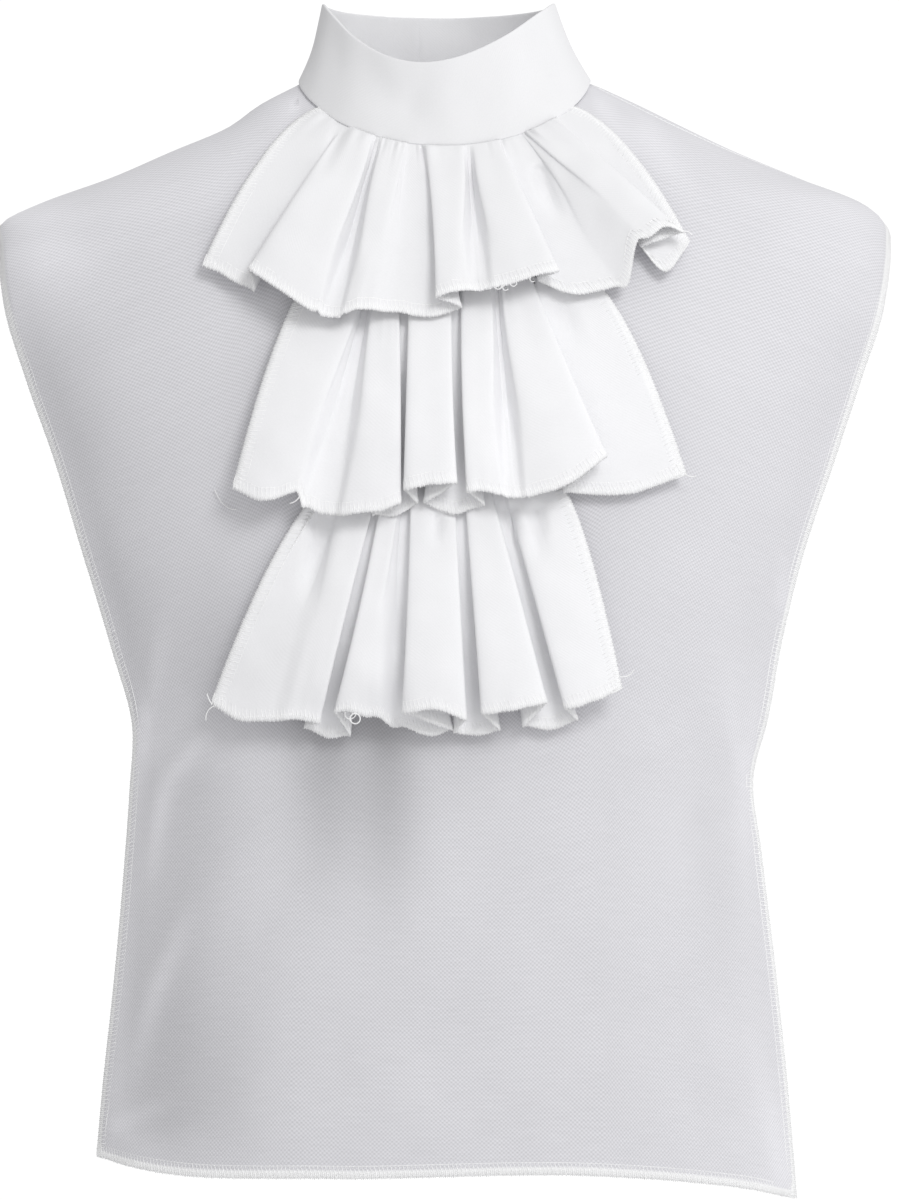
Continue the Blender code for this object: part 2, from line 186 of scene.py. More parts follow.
# The ruffles' uneven hems
HEM_WAVE_RISE = 0.6
HEM_WAVE_SIZE = 4.0
HEM_WAVE_REACH = 7.0
HEM_UNEVEN = 0.9
HEM_UNEVEN_SIZE = 9.0
HEM_RAGGED = 0.35
HEM_RAGGED_SIZE = 1.7
HEM_RAGGED_STEP = 1.1

# Softness of the panel, the yokes and the ruffles
SOFTNESS = 0.7
RUFFLE_WAVER_SIZE = 17.0
RUFFLE_SOFT_RATE = 3.0

# Overlocking, with places along the edge in stitches
THREAD_PROUD = -0.08
GATHERED_THREAD_PROUD = -0.18
NEEDLE_SHARE = 0.55
NEEDLE_ZIGZAG = 0.03
SEAM_THREAD_SHARE = 0.3
SEAM_THREAD_PROUD = 0.3
BAR_SLANT = 0.7
BAR_ARCH = 1.25
BAR_MIDDLE = 0.1
BAR_TURN_START = 0.2
BAR_TURN_END = 0.3
BAR_TURN_LIFT = 0.7
BAR_END = 0.9
BAR_UNEVEN = 0.16
BAR_UNEVEN_SIZE = 0.7
BAR_REACH_SWING = 0.5
EDGE_OVERHANG = 0.35
OVERHANG_SWING = 1.6
OVERHANG_SIZE = 0.29
OVERHANG_LAYER = 5.0
LOOPS_A_STITCH = 2
LOOP_POINTS = 6
LOOP_SHARE = 0.52
LOOP_SWING = 0.45
LOOP_SIZE = 0.37
LOOP_LIFT = 1.25

# Where the overlocking's whiteness ends, in widths of the band of loops
LOOP_BAND_END = 1.4

# Loose ends of thread, whose thickness is so many times the overlock thread's
THREAD_END_STEP = 0.6
THREAD_END_CLEARANCE = 0.4
THREAD_END_THICKNESS = 1.15

# Painted light and shade: from outside, the panel is painted lighter where it stands off the figure
# and darker where it sinks, up to so many millimetres either way; partly the dark figure seen through
# thin cloth, partly painted shade in hollows and painted light on ridges
PAINTED_SHADE_LIFT = 8.0
PAINTED_SHADE_SHARE = 0.32

# Weave: the pattern's own units for each millimetre across and down, and its relief
WEAVE_ACROSS = 0.262
WEAVE_DOWN = 0.3
WEAVE_HEIGHT = 0.1
SLUB_STRETCH = 0.06

# Stage, in metres: the key light, the floor, and the way to the brighter half of the surroundings
KEY_SIZE = 0.9
KEY_PLACE = (0.9, -2.07, 1.04)
KEY_TARGET = (0.0, 0.0, -0.25)
FLOOR_RADIUS = 2.6
FLOOR_SEGMENTS = 96
BRIGHT_SIDE = (0.96, -0.26, -0.1)

# Width of the camera's sensor in millimetres
SENSOR_WIDTH = 36.0


class Level(NamedTuple):
    """The figure at one height: its left and right outline, and its depth before and behind."""

    height: float
    left: float
    right: float
    front: float
    back: float


FIGURE = [
    Level(-600.0, -188.0, 188.0, 82.0, 100.0),
    Level(-530.0, -182.0, 182.0, 83.5, 98.0),
    Level(-470.0, -175.5, 175.5, 85.0, 94.0),
    Level(-410.0, -170.0, 168.0, 87.5, 90.0),
    Level(-370.0, -167.0, 163.5, 90.0, 91.0),
    Level(-340.0, -165.5, 171.0, 92.5, 93.0),
    Level(-300.0, -176.5, 178.0, 96.0, 97.0),
    Level(-250.0, -192.0, 190.0, 99.5, 101.0),
    Level(-200.0, -207.5, 207.0, 100.0, 103.0),
    Level(-160.0, -222.0, 220.5, 97.0, 102.0),
    Level(-120.0, -234.0, 233.5, 91.0, 99.0),
    Level(-90.0, -236.5, 236.5, 84.0, 95.0),
    Level(-74.0, -233.0, 232.0, 80.0, 92.0),
    Level(-65.0, -214.0, 221.0, 77.0, 90.0),
    Level(-52.0, -178.0, 188.0, 70.5, 86.0),
    Level(-38.0, -146.0, 154.0, 62.0, 80.0),
    Level(-25.0, -116.0, 127.0, 50.0, 74.0),
    Level(-12.0, -98.0, 101.0, 36.5, 66.0),
    Level(0.0, -75.5, 75.5, 20.0, 56.0),
]


class HemPoint(NamedTuple):
    """The height of the panel's hem, so far across."""

    across: float
    height: float


PANEL_HEM = [
    HemPoint(-185.0, -565.0),
    HemPoint(-157.0, -569.3),
    HemPoint(-60.0, -570.0),
    HemPoint(85.0, -569.5),
    HemPoint(128.0, -574.0),
    HemPoint(158.0, -579.5),
    HemPoint(187.0, -588.5),
]


class Crease(NamedTuple):
    """A soft ridge, or a hollow where its rise is negative, seen from in front.

    It is highest or deepest at its start and fades out towards its end.
    """

    start_x: float
    start_z: float
    end_x: float
    end_z: float
    width: float
    rise: float


# On the panel's outside, each crease also paints light along its ridge and shade in its hollow
CREASES = [
    Crease(-158.0, -345.0, -128.0, -262.0, 14.0, 1.6),
    Crease(-158.0, -337.0, -160.5, -283.0, 3.2, 1.2),
    Crease(-156.0, -338.0, -143.0, -262.0, 4.6, 1.8),
    Crease(-156.0, -352.0, -96.0, -318.0, 13.0, 0.8),
    Crease(-145.0, -368.0, -112.0, -329.0, 5.5, 2.8),
    Crease(-149.0, -377.0, -161.0, -446.0, 5.5, 2.7),
    Crease(-149.5, -470.0, -124.0, -414.0, 6.0, 2.4),
    Crease(-153.0, -479.0, -168.0, -534.0, 6.0, 2.4),
    Crease(-158.0, -350.0, -168.0, -520.0, 9.0, 1.6),
    Crease(-173.0, -550.0, -166.0, -430.0, 7.0, 1.6),
    Crease(-131.0, -376.0, -148.0, -556.0, 20.0, -2.3),
    Crease(-152.0, -545.0, -140.0, -396.0, 18.0, -2.3),
    Crease(156.0, -364.0, 146.0, -272.0, 13.0, 0.6),
    Crease(159.0, -360.0, 163.5, -294.0, 4.0, 1.3),
    Crease(154.0, -366.0, 145.0, -303.0, 4.6, 1.7),
    Crease(177.0, -280.0, 172.0, -230.0, 4.5, 1.6),
    Crease(157.0, -374.0, 158.0, -455.0, 5.5, 1.5),
    Crease(-172.0, -549.0, -129.0, -527.0, 5.0, 2.4),
    Crease(-174.0, -560.0, -112.0, -556.0, 8.0, 1.4),
    Crease(176.0, -578.0, 150.0, -470.0, 18.0, 1.6),
    Crease(177.0, -578.0, 158.0, -490.0, 6.0, 1.8),
    Crease(-228.0, -88.0, -204.0, -158.0, 36.0, 7.0),
    Crease(-130.0, -46.0, -215.0, -80.0, 26.0, 1.6),
    Crease(-64.0, -338.0, -66.0, -462.0, 20.0, -7.2),
    Crease(-32.0, -338.0, -34.0, -476.0, 17.0, -7.2),
    Crease(134.0, -390.0, 160.0, -560.0, 13.0, -1.4),
    Crease(8.0, -338.0, 6.0, -410.0, 22.0, -2.0),
    Crease(-128.0, -312.0, -122.0, -225.0, 26.0, -2.6),
    Crease(-128.0, -535.0, -118.0, -415.0, 34.0, -3.2),
    Crease(-88.0, -14.0, -132.0, -84.0, 12.0, 2.0),
    Crease(-80.0, -15.0, -99.0, -56.0, 5.0, 2.0),
    Crease(82.0, -15.0, 100.0, -56.0, 5.0, 2.0),
    Crease(104.0, -31.0, 131.0, -78.0, 8.0, 1.8),
]
COLLAR_DENTS = [
    Crease(-26.0, -16.0, -60.0, 26.0, 13.0, -2.2),
    Crease(-18.0, -22.0, -12.0, 4.0, 6.0, -0.9),
    Crease(46.0, 12.0, 66.0, 30.0, 10.0, -1.4),
]


class Fold(NamedTuple):
    """One fold of a ruffle, from left to right.

    Its two edges are given at the seam and at the hem, then how far it stands off the panel at
    the hem, and how low its hem hangs at the left edge, the middle and the right edge.
    """

    seam_left: float
    seam_right: float
    hem_left: float
    hem_right: float
    stand: float
    low_left: float
    low_middle: float
    low_right: float


class Ruffle(NamedTuple):
    """A gathered strip, sewn on along its top: in the neck seam where the seam height is None.

    The flat strip's cut length and depth are in metres. Its share of the ruffles' colour is painted
    shade that makes the top ruffle darker than the lower two, and its pockets are hollows beside its
    folds.
    """

    name: str
    seam_height: float | None
    cut_length: float
    cut_depth: float
    painted_shade_share: float
    folds: list
    pockets: list


RUFFLES = [
    Ruffle(
        "ruffle_top",
        None,
        0.37,
        0.105,
        0.95,
        [
            Fold(-65.5, -53.5, -123.5, -97.0, 9.0, -104.0, -110.5, -117.0),
            Fold(-51.5, -37.0, -99.0, -60.5, 20.0, -107.0, -119.0, -129.0),
            Fold(-35.2, -33.4, -60.0, -55.5, 14.0, -132.0, -132.5, -132.0),
            Fold(-31.6, -20.5, -54.5, -36.0, 19.0, -130.0, -128.5, -128.5),
            Fold(-18.8, -11.5, -34.0, 8.0, 13.0, -129.0, -131.5, -126.5),
            Fold(-9.6, 9.2, -4.0, 15.0, 22.0, -122.5, -120.0, -118.5),
            Fold(11.2, 12.8, 16.5, 19.5, 18.0, -118.5, -118.5, -118.0),
            Fold(14.8, 27.0, 21.0, 57.0, 21.5, -117.5, -112.5, -108.5),
            Fold(28.8, 39.5, 48.0, 97.0, 10.0, -113.0, -119.5, -115.5),
            Fold(41.5, 56.5, 97.5, 120.5, 20.0, -91.0, -85.0, -87.5),
            Fold(58.3, 66.0, 100.0, 124.8, 9.0, -95.0, -107.5, -92.0),
        ],
        [
            Crease(-52.0, -30.0, -66.0, -64.0, 3.5, -5.0),
            Crease(48.0, -56.0, 60.0, -84.0, 3.2, -8.0),
        ],
    ),
    Ruffle(
        "ruffle_middle",
        -110.0,
        0.35,
        0.108,
        1.0,
        [
            Fold(-66.0, -39.5, -107.0, -70.8, 17.0, -218.0, -224.5, -220.5),
            Fold(-37.6, -35.8, -69.2, -57.0, 9.5, -227.5, -231.0, -231.5),
            Fold(-34.0, -24.0, -55.0, -22.5, 18.0, -231.5, -230.0, -226.5),
            Fold(-22.0, -19.6, -36.0, -14.0, 9.0, -231.5, -232.0, -225.5),
            Fold(-17.6, 3.0, -20.0, 5.5, 21.0, -219.5, -216.5, -216.0),
            Fold(5.0, 6.8, -10.0, 19.5, 9.5, -225.5, -231.0, -226.5),
            Fold(8.6, 22.6, 11.5, 32.0, 20.0, -220.0, -220.0, -222.0),
            Fold(24.6, 26.6, 33.5, 36.0, 16.0, -222.5, -223.0, -223.0),
            Fold(28.6, 43.0, 37.5, 81.0, 20.0, -222.5, -216.0, -202.5),
            Fold(45.0, 72.0, 60.5, 122.5, 9.5, -220.0, -221.0, -211.0),
        ],
        [
            Crease(-53.0, -122.0, -57.0, -142.0, 3.0, -5.0),
            Crease(58.0, -124.0, 70.0, -154.0, 4.0, -3.5),
        ],
    ),
    Ruffle(
        "ruffle_bottom",
        -214.0,
        0.35,
        0.117,
        1.01,
        [
            Fold(-54.5, -50.5, -119.0, -81.5, 14.5, -327.0, -335.0, -335.5),
            Fold(-50.0, -33.0, -80.5, -64.0, 18.0, -335.0, -335.5, -337.0),
            Fold(-32.2, -31.0, -71.0, -48.5, 8.0, -339.5, -344.0, -343.0),
            Fold(-30.0, -22.2, -55.5, -34.0, 19.0, -331.5, -331.0, -333.5),
            Fold(-20.4, -18.6, -30.0, 3.5, 9.0, -339.0, -343.0, -340.0),
            Fold(-16.8, 4.2, -21.0, 10.5, 20.0, -331.5, -329.5, -335.0),
            Fold(6.0, 8.0, 5.0, 27.5, 8.5, -341.5, -343.0, -340.0),
            Fold(9.8, 21.4, 19.0, 51.0, 20.0, -332.0, -329.5, -326.5),
            Fold(23.2, 27.2, 40.0, 67.0, 8.0, -338.0, -340.0, -335.0),
            Fold(29.2, 56.5, 61.0, 89.5, 18.0, -329.5, -325.5, -319.5),
        ],
        [
            Crease(-61.5, -236.0, -71.0, -282.0, 5.0, -8.0),
            Crease(33.0, -230.0, 36.0, -252.0, 3.0, -5.0),
            Crease(46.0, -230.0, 48.0, -260.0, 3.5, -5.0),
            Crease(-4.0, -234.0, -4.0, -250.0, 2.6, -3.5),
        ],
    ),
]


class ThreadEnd(NamedTuple):
    """A loose end of thread: where it starts, which way it sets off and how it curls.

    The heading is in degrees, 0 to the right and 90 up, and the curl in degrees a millimetre.
    """

    x: float
    z: float
    stand: float
    heading: float
    length: float
    curl: float
    curl_change: float


THREAD_ENDS = [
    ThreadEnd(-106.0, -228.4, 1.0, 185.0, 17.0, -9.0, 0.6),
    ThreadEnd(-110.8, -43.4, 0.4, 357.0, 3.6, 0.0, 0.0),
    ThreadEnd(-118.5, -327.5, 15.2, 125.0, 7.0, -4.0, 0.0),
    ThreadEnd(-117.5, -328.5, 15.0, 205.0, 10.0, 8.0, 0.2),
    ThreadEnd(-47.6, -334.8, 13.5, 285.0, 34.0, 24.0, -0.1),
    ThreadEnd(25.0, -117.0, 22.1, 300.0, 7.0, 30.0, 0.0),
    ThreadEnd(30.0, -116.2, 22.2, 215.0, 6.0, 42.0, 0.0),
    ThreadEnd(36.0, -114.4, 23.1, 285.0, 6.0, -34.0, 0.0),
    ThreadEnd(43.0, -112.2, 23.8, 250.0, 5.0, 38.0, 0.0),
    ThreadEnd(-44.8, -332.1, 13.5, 250.0, 16.0, -16.0, -1.2),
    ThreadEnd(88.5, -313.2, 18.1, 350.0, 9.0, 9.0, 0.2),
    ThreadEnd(-73.2, -222.5, 16.2, 240.0, 7.0, -9.0, 0.0),
    ThreadEnd(120.0, -88.0, 21.2, 20.0, 7.0, -14.0, 0.0),
    ThreadEnd(122.3, -211.0, 9.7, 330.0, 6.0, 10.0, 0.0),
]


def mix(start, end, share):
    return start + (end - start) * share


def ease(share):
    """0 up to 1 with level ends."""
    share = min(max(share, 0.0), 1.0)
    return share * share * (3.0 - 2.0 * share)


def smooth_curve(keys, values):
    """A smooth curve through the values at rising keys, level beyond its ends."""
    slopes = np.gradient(np.array(values), np.array(keys))

    def value_at(key):
        key = min(max(key, keys[0]), keys[-1])
        place = min(int(np.searchsorted(keys, key, side="right")), len(keys) - 1) - 1
        span = keys[place + 1] - keys[place]
        share = (key - keys[place]) / span
        blend = ease(share)
        straight = mix(values[place], values[place + 1], blend)
        leaving = slopes[place] * share * (1.0 - share) ** 2
        arriving = slopes[place + 1] * share**2 * (1.0 - share)
        return straight + span * (leaving - arriving)

    return value_at


HEIGHTS = [level.height for level in FIGURE]
left_at = smooth_curve(HEIGHTS, [level.left for level in FIGURE])
right_at = smooth_curve(HEIGHTS, [level.right for level in FIGURE])
front_depth_at = smooth_curve(HEIGHTS, [level.front for level in FIGURE])
back_depth_at = smooth_curve(HEIGHTS, [level.back for level in FIGURE])
hem_at = smooth_curve([point.across for point in PANEL_HEM], [point.height for point in PANEL_HEM])


def fullness(x, height):
    """How much of the figure's depth is left at x: 1 in the middle, 0 at the outline."""
    left = left_at(height)
    right = right_at(height)
    share = abs(2.0 * x - left - right) / (right - left)
    return (1.0 - min(share, 1.0) ** SECTION_ROUNDNESS) ** (1.0 / SECTION_ROUNDNESS)


def crease_rise(x, height, creases=CREASES):
    """How far the soft creases lift the cloth."""
    total = 0.0
    for crease in creases:
        run_x = crease.end_x - crease.start_x
        run_z = crease.end_z - crease.start_z
        from_x = x - crease.start_x
        from_z = height - crease.start_z
        share = (from_x * run_x + from_z * run_z) / (run_x**2 + run_z**2)
        share = min(max(share, 0.0), 1.0)
        distance = math.hypot(from_x - run_x * share, from_z - run_z * share)
        fade = 1.0 - ease(share)
        total += crease.rise * fade * math.exp(-((distance / crease.width) ** 2))
    return total


def front_y(x, height):
    return -front_depth_at(height) * fullness(x, height)


def back_y(x, height):
    return back_depth_at(height) * fullness(x, height)


def hanging_y(x, height):
    """The front panel's y: it leaves the figure just short of its free side edges."""
    left = left_at(height)
    right = right_at(height)
    middle = (left + right) / 2.0
    reach = (right - left) / 2.0 * FLAT_EDGE_SHARE
    beyond = abs(x - middle) - reach
    if beyond <= 0.0:
        return front_y(x, height)
    leaving = front_y(middle + math.copysign(reach, x - middle), height) + beyond * FLAT_EDGE_SLOPE
    free = ease((TIP_HEIGHT - height) / FLAT_EDGE_REACH)
    return mix(front_y(x, height), min(leaving, front_y(x, height)), free)


def height_on_shoulder(x, y):
    """The height of the figure's surface at x and y, above its widest place."""
    high = SIDE_NECK_HEIGHT
    low = WIDEST_HEIGHT
    side = back_y if y > 0.0 else front_y
    for _ in range(BISECTION_STEPS):
        middle = (high + low) / 2.0
        if abs(side(x, middle)) < abs(y):
            high = middle
        else:
            low = middle
    return low


def neck_front_height(x):
    share = min(abs(x) / NECK_HALF_WIDTH, 1.0)
    return -NECK_FRONT_DROP * (1.0 - share * share) ** NECK_DROP_POWER


def side_edge(outline, height):
    """The free edge of the cloth, just inside the figure's outline below the shoulder tips."""
    inset = SIDE_INSET * ease((TIP_HEIGHT - height) / SIDE_INSET_REACH)
    return outline(height) * (1.0 - inset)


def shoulder_seam_y(x):
    """The shoulder seam: on the ridge at the left, and forward of it at the right."""
    if x <= NECK_HALF_WIDTH:
        return 0.0
    share = (x - NECK_HALF_WIDTH) / (right_at(TIP_HEIGHT) - NECK_HALF_WIDTH)
    return -RIGHT_SEAM_FORWARD * math.sin(math.pi * share**RIGHT_SEAM_POWER)


def neck_x(step):
    """How far across each step along the front half of the neck seam lies."""
    return -NECK_HALF_WIDTH * math.cos(math.pi * step / NECK_STEPS)


def waver(size, x, y, z=0.0):
    """Smooth noise from -1 to 1 whose bumps are about so far apart, in the units of its place."""
    return noise.noise((x / size, y / size, z / size))


def seam_roll(distance):
    """How far cloth turns under beside a seam, so far from it."""
    return SEAM_ROLL * math.exp(-distance / SEAM_ROLL_REACH)


def panel_top_height(x):
    """The height of the panel's top edge: its neck seam, and a shoulder seam on each side."""
    if abs(x) < NECK_HALF_WIDTH:
        return neck_front_height(x)
    return height_on_shoulder(x, shoulder_seam_y(x) - SEAM_GAP)


def panel_points():
    """The front, from the shoulder seams and the neck down to the hem."""
    tip_left = left_at(TIP_HEIGHT)
    tip_right = right_at(TIP_HEIGHT)
    top_xs = [mix(tip_left, -NECK_HALF_WIDTH, step / SHOULDER_STEPS) for step in range(SHOULDER_STEPS)]
    top_xs += [neck_x(step) for step in range(NECK_STEPS)]
    top_xs += [mix(NECK_HALF_WIDTH, tip_right, step / SHOULDER_STEPS) for step in range(SHOULDER_STEPS + 1)]
    columns = len(top_xs) - 1
    top_heights = [panel_top_height(x) for x in top_xs]
    hem_left = side_edge(left_at, PANEL_HEM[0].height)
    hem_right = side_edge(right_at, PANEL_HEM[-1].height)
    lines = []
    for row in range(PANEL_ROWS + 1):
        fall = (row / PANEL_ROWS) ** PANEL_ROW_POWER
        left = side_edge(left_at, mix(TIP_HEIGHT, hem_at(hem_left), fall))
        right = side_edge(right_at, mix(TIP_HEIGHT, hem_at(hem_right), fall))
        line = []
        for column, top_x in enumerate(top_xs):
            share = (top_x - tip_left) / (tip_right - tip_left)
            share = mix(share, column / columns, ease(fall / EVEN_COLUMNS_FALL) * EVEN_COLUMNS_SHARE)
            x = mix(left, right, share)
            height = mix(top_heights[column], hem_at(x), fall)
            y = min(hanging_y(x, height), -SEAM_GAP)
            y -= crease_rise(x, height) * ease(fall / CREASES_FULL_FALL)
            y -= SOFTNESS * waver(PANEL_WAVER_SIZE, x, height) * ease(fall / CREASES_FULL_FALL)
            rolled = seam_roll(top_heights[column] - height)
            line.append((x, y + rolled * PANEL_ROLL_INWARD, height - rolled))
        lines.append(line)
    return np.array(lines)


def yoke_points(side, lap_lift):
    """Half of the short back, from the lap at the centre back out to the armhole."""
    outline = left_at if side < 0 else right_at
    tip = outline(TIP_HEIGHT)
    half = NECK_STEPS // 2
    inner = math.asin(YOKE_LAP / NECK_HALF_WIDTH)
    top_xs = [
        side * NECK_HALF_WIDTH * math.sin(mix(-inner, math.pi / 2.0, step / half)) for step in range(half)
    ]
    top_xs += [
        mix(side * NECK_HALF_WIDTH, tip, step / SHOULDER_STEPS) for step in range(SHOULDER_STEPS + 1)
    ]
    lines = []
    for row in range(YOKE_ROWS + 1):
        fall = row / YOKE_ROWS
        edge = side_edge(outline, mix(TIP_HEIGHT, YOKE_HEM, fall))
        line = []
        for top_x in top_xs:
            x = top_x * mix(1.0, edge / tip, abs(top_x / tip))
            if abs(top_x) < NECK_HALF_WIDTH:
                top_y = back_y(top_x, SIDE_NECK_HEIGHT)
                back_share = top_y / back_depth_at(SIDE_NECK_HEIGHT)
                reach = mix(YOKE_SHOULDER_REACH, YOKE_NECK_REACH, back_share)
            else:
                top_y = shoulder_seam_y(top_x) + SEAM_GAP
                edge_y = back_y(x, TIP_HEIGHT - SIDE_INSET_REACH)
                edge_reach = max(YOKE_EDGE_SHARE * edge_y, YOKE_EDGE_LEAST)
                reach = min(YOKE_SHOULDER_REACH, edge_reach) - top_y
            if fall <= YOKE_SHOULDER_SHARE:
                y = top_y + reach * fall / YOKE_SHOULDER_SHARE
                height = height_on_shoulder(x, y)
            else:
                start = height_on_shoulder(x, top_y + reach)
                height = mix(start, YOKE_HEM, (fall - YOKE_SHOULDER_SHARE) / (1.0 - YOKE_SHOULDER_SHARE))
                y = back_y(x, height)
            rolled = seam_roll(y - top_y)
            lapped = ease((YOKE_LAP - side * top_x) / YOKE_LAP)
            soft = SOFTNESS * waver(PANEL_WAVER_SIZE, x, height, YOKE_WAVER_LAYER)
            soft *= ease(fall / YOKE_SOFT_FULL_FALL)
            line.append((x, y + lap_lift * lapped + soft - rolled * YOKE_ROLL_INWARD, height - rolled))
        lines.append(line)
    return np.array(lines)


def collar_points():
    """The stand collar, right round the neck, with its ends lapped at the centre back."""
    lap = COLLAR_LAP_SHARE
    columns = 2 * NECK_STEPS
    lines = []
    for row in range(COLLAR_ROWS + 1):
        rise = 1.0 - row / COLLAR_ROWS
        line = []
        for column in range(columns + 1):
            share = mix(-lap / 2.0, 1.0 + lap / 2.0, column / columns)
            angle = 2.0 * math.pi * share
            forward = -math.cos(angle)
            x = NECK_HALF_WIDTH * math.sin(angle)
            if forward > 0.0:
                base_height = neck_front_height(x)
                base_y = front_y(x, base_height)
                top_y = -COLLAR_TOP_FRONT * forward
                skewed = math.sin(angle) + COLLAR_DIP_SKEW * forward**2
                dip = COLLAR_FRONT_DIP * (1.0 - skewed**2) ** (COLLAR_DIP_POWER / 2.0)
            else:
                base_height = SIDE_NECK_HEIGHT
                base_y = back_y(x, SIDE_NECK_HEIGHT)
                top_y = -COLLAR_TOP_BACK * forward
                dip = 0.0
            top_x = COLLAR_TOP_CENTRE + COLLAR_TOP_HALF_WIDTH * math.sin(angle)
            lifted = ease((share - 1.0 + lap / 2.0) / lap)
            out = COLLAR_PROUD * (1.0 - rise) - COLLAR_WAIST * math.sin(math.pi * rise)
            tall = rise * COLLAR_WAVER_HEIGHT
            out += COLLAR_SOFTNESS * waver(COLLAR_WAVER_SIZE, x, tall, forward * COLLAR_WAVER_DEPTH)
            if forward > 0.0:
                height = mix(base_height, COLLAR_SIDE_HEIGHT - dip, rise)
                dented = crease_rise(mix(x, top_x, rise), height, COLLAR_DENTS)
                out += dented * math.sin(math.pi * mix(DENT_ARCH_FOOT, DENT_ARCH_TOP, rise))
            line.append(
                (
                    mix(x, top_x, rise) + out * math.sin(angle),
                    mix(base_y, top_y, rise) - out * forward + COLLAR_LAP_LIFT * lifted,
                    mix(base_height - COLLAR_OVERHANG, COLLAR_SIDE_HEIGHT - dip, rise),
                )
            )
        lines.append(line)
    return np.array(lines)


def turn(depth_away):
    """How far a fold's edge rolls towards the next fold, which lies so much nearer or deeper."""
    size = min(max(abs(depth_away) * TURN_SHARE, TURN_LEAST), TURN_DEPTH)
    return math.copysign(size, depth_away)


def is_open(folds, number):
    """Whether fold number and the next one lie side by side at the hem, so the wall between is soft."""
    return 0 <= number < len(folds) - 1 and folds[number].hem_right <= folds[number + 1].hem_left


def fold_edges(folds, fall, opened):
    """Each fold's left and right edge, and each fold's stand off the panel, so far down."""
    last = len(folds) - 1
    bow = EDGE_BOW * math.sin(math.pi * fall)
    edges = []
    stands = []
    for number, fold in enumerate(folds):
        left_power = 1.0 if number > 0 else FREE_EDGE_POWER
        right_power = 1.0 if number < last else FREE_EDGE_POWER
        left = mix(fold.seam_left, fold.hem_left, fall**left_power)
        right = mix(fold.seam_right, fold.hem_right, fall**right_power)
        front = fold.stand > FRONT_FOLD_STAND
        at_seam = FRONT_STAND_AT_SEAM if front else BACK_STAND_AT_SEAM
        stand = mix(at_seam, fold.stand, fall**STAND_POWER)
        reach = OPEN_REACH if front else BACK_OPEN_REACH
        give = min(reach, OPEN_WIDTH_SHARE * (right - left)) * opened
        if number > 0:
            left += bow * waver(EDGE_BOW_SIZE, fold.seam_left, fold.low_left)
        if number < last:
            right += bow * waver(EDGE_BOW_SIZE, fold.seam_right, fold.low_right)
        if is_open(folds, number - 1) and is_open(folds, number):
            beside = min(folds[number - 1].stand, folds[number + 1].stand)
            if fold.stand < beside:
                dipped = stand - VALLEY_DIP * math.sin(math.pi * fall)
                stand = max(dipped, VALLEY_LEAST * stand) + (beside - fold.stand) * OPEN_RISE * opened
                give = 0.0
        edges.append((left + give * is_open(folds, number - 1), right - give * is_open(folds, number)))
        stands.append(stand)
    return edges, stands


def turned_edge(edge, stand, beside, stand_beside, softened, fall):
    """Where a fold's edge rolls round to, across and in its stand, on the way to the fold beside."""
    across = mix(edge, beside, mix(TURN_SLANT * (1.0 - fall), OPEN_SLANT, softened))
    away = stand_beside - stand
    return across, stand + mix(turn(away), away * OPEN_SLANT / 2.0, softened)


def fold_cage(ruffle, fall):
    """The points (across, height, stand) that the ruffle passes through, so far down."""
    folds = ruffle.folds
    last = len(folds) - 1
    opened = ease((fall - OPEN_FALL) / (OPEN_FULL_FALL - OPEN_FALL))
    edges, stands = fold_edges(folds, fall, opened)
    points = []
    for number, fold in enumerate(folds):
        left, right = edges[number]
        stand = stands[number]
        full = stand / fold.stand * (right - left)
        front = fold.stand > FRONT_FOLD_STAND
        crown = stand + (FRONT_CROWN if front else -BACK_CROWN) * full
        if number > 0:
            softened = opened * is_open(folds, number - 1)
            rolled, rolled_stand = turned_edge(
                left, stand, edges[number - 1][1], stands[number - 1], softened, fall
            )
            points.append((rolled, fold.seam_left, fold.low_left, rolled_stand))
        points.append((left, fold.seam_left, fold.low_left, stand))
        middle = (fold.seam_left + fold.seam_right) / 2.0
        points.append(((left + right) / 2.0, middle, fold.low_middle, crown))
        points.append((right, fold.seam_right, fold.low_right, stand))
        if number < last:
            softened = opened * is_open(folds, number)
            rolled, rolled_stand = turned_edge(
                right, stand, edges[number + 1][0], stands[number + 1], softened, fall
            )
            points.append((rolled, fold.seam_right, fold.low_right, rolled_stand))
    cage = []
    for across, seam_across, low, stand in points:
        if ruffle.seam_height is None:
            seam = neck_front_height(seam_across)
        else:
            seam = ruffle.seam_height
        cage.append(np.array([across, mix(seam, low, fall), stand]))
    return cage


def round_curve(cage, steps):
    """A round curve through the cage's points, with steps[n] spans between points n and n + 1."""
    ends = [2.0 * cage[0] - cage[1], *cage, 2.0 * cage[-1] - cage[-2]]
    found = []
    for number, count in enumerate(steps):
        p0, p1, p2, p3 = ends[number : number + 4]
        t1 = np.linalg.norm(p1 - p0) ** 0.5
        t2 = t1 + np.linalg.norm(p2 - p1) ** 0.5
        t3 = t2 + np.linalg.norm(p3 - p2) ** 0.5
        for step in range(count):
            t = mix(t1, t2, step / count)
            a1 = mix(p0, p1, t / t1)
            a2 = mix(p1, p2, (t - t1) / (t2 - t1))
            a3 = mix(p2, p3, (t - t2) / (t3 - t2))
            b1 = mix(a1, a2, t / t2)
            b2 = mix(a2, a3, (t - t1) / (t3 - t1))
            found.append(mix(b1, b2, (t - t1) / (t2 - t1)))
    found.append(cage[-1])
    return found


def slant(x, height):
    """How much further a step straight forwards is than one square to the panel."""
    span = 1.0
    across = (front_y(x + span, height) - front_y(x - span, height)) / (2.0 * span)
    down = (front_y(x, height + span) - front_y(x, height - span)) / (2.0 * span)
    return min(math.sqrt(1.0 + across * across + down * down), MOST_SLANT)


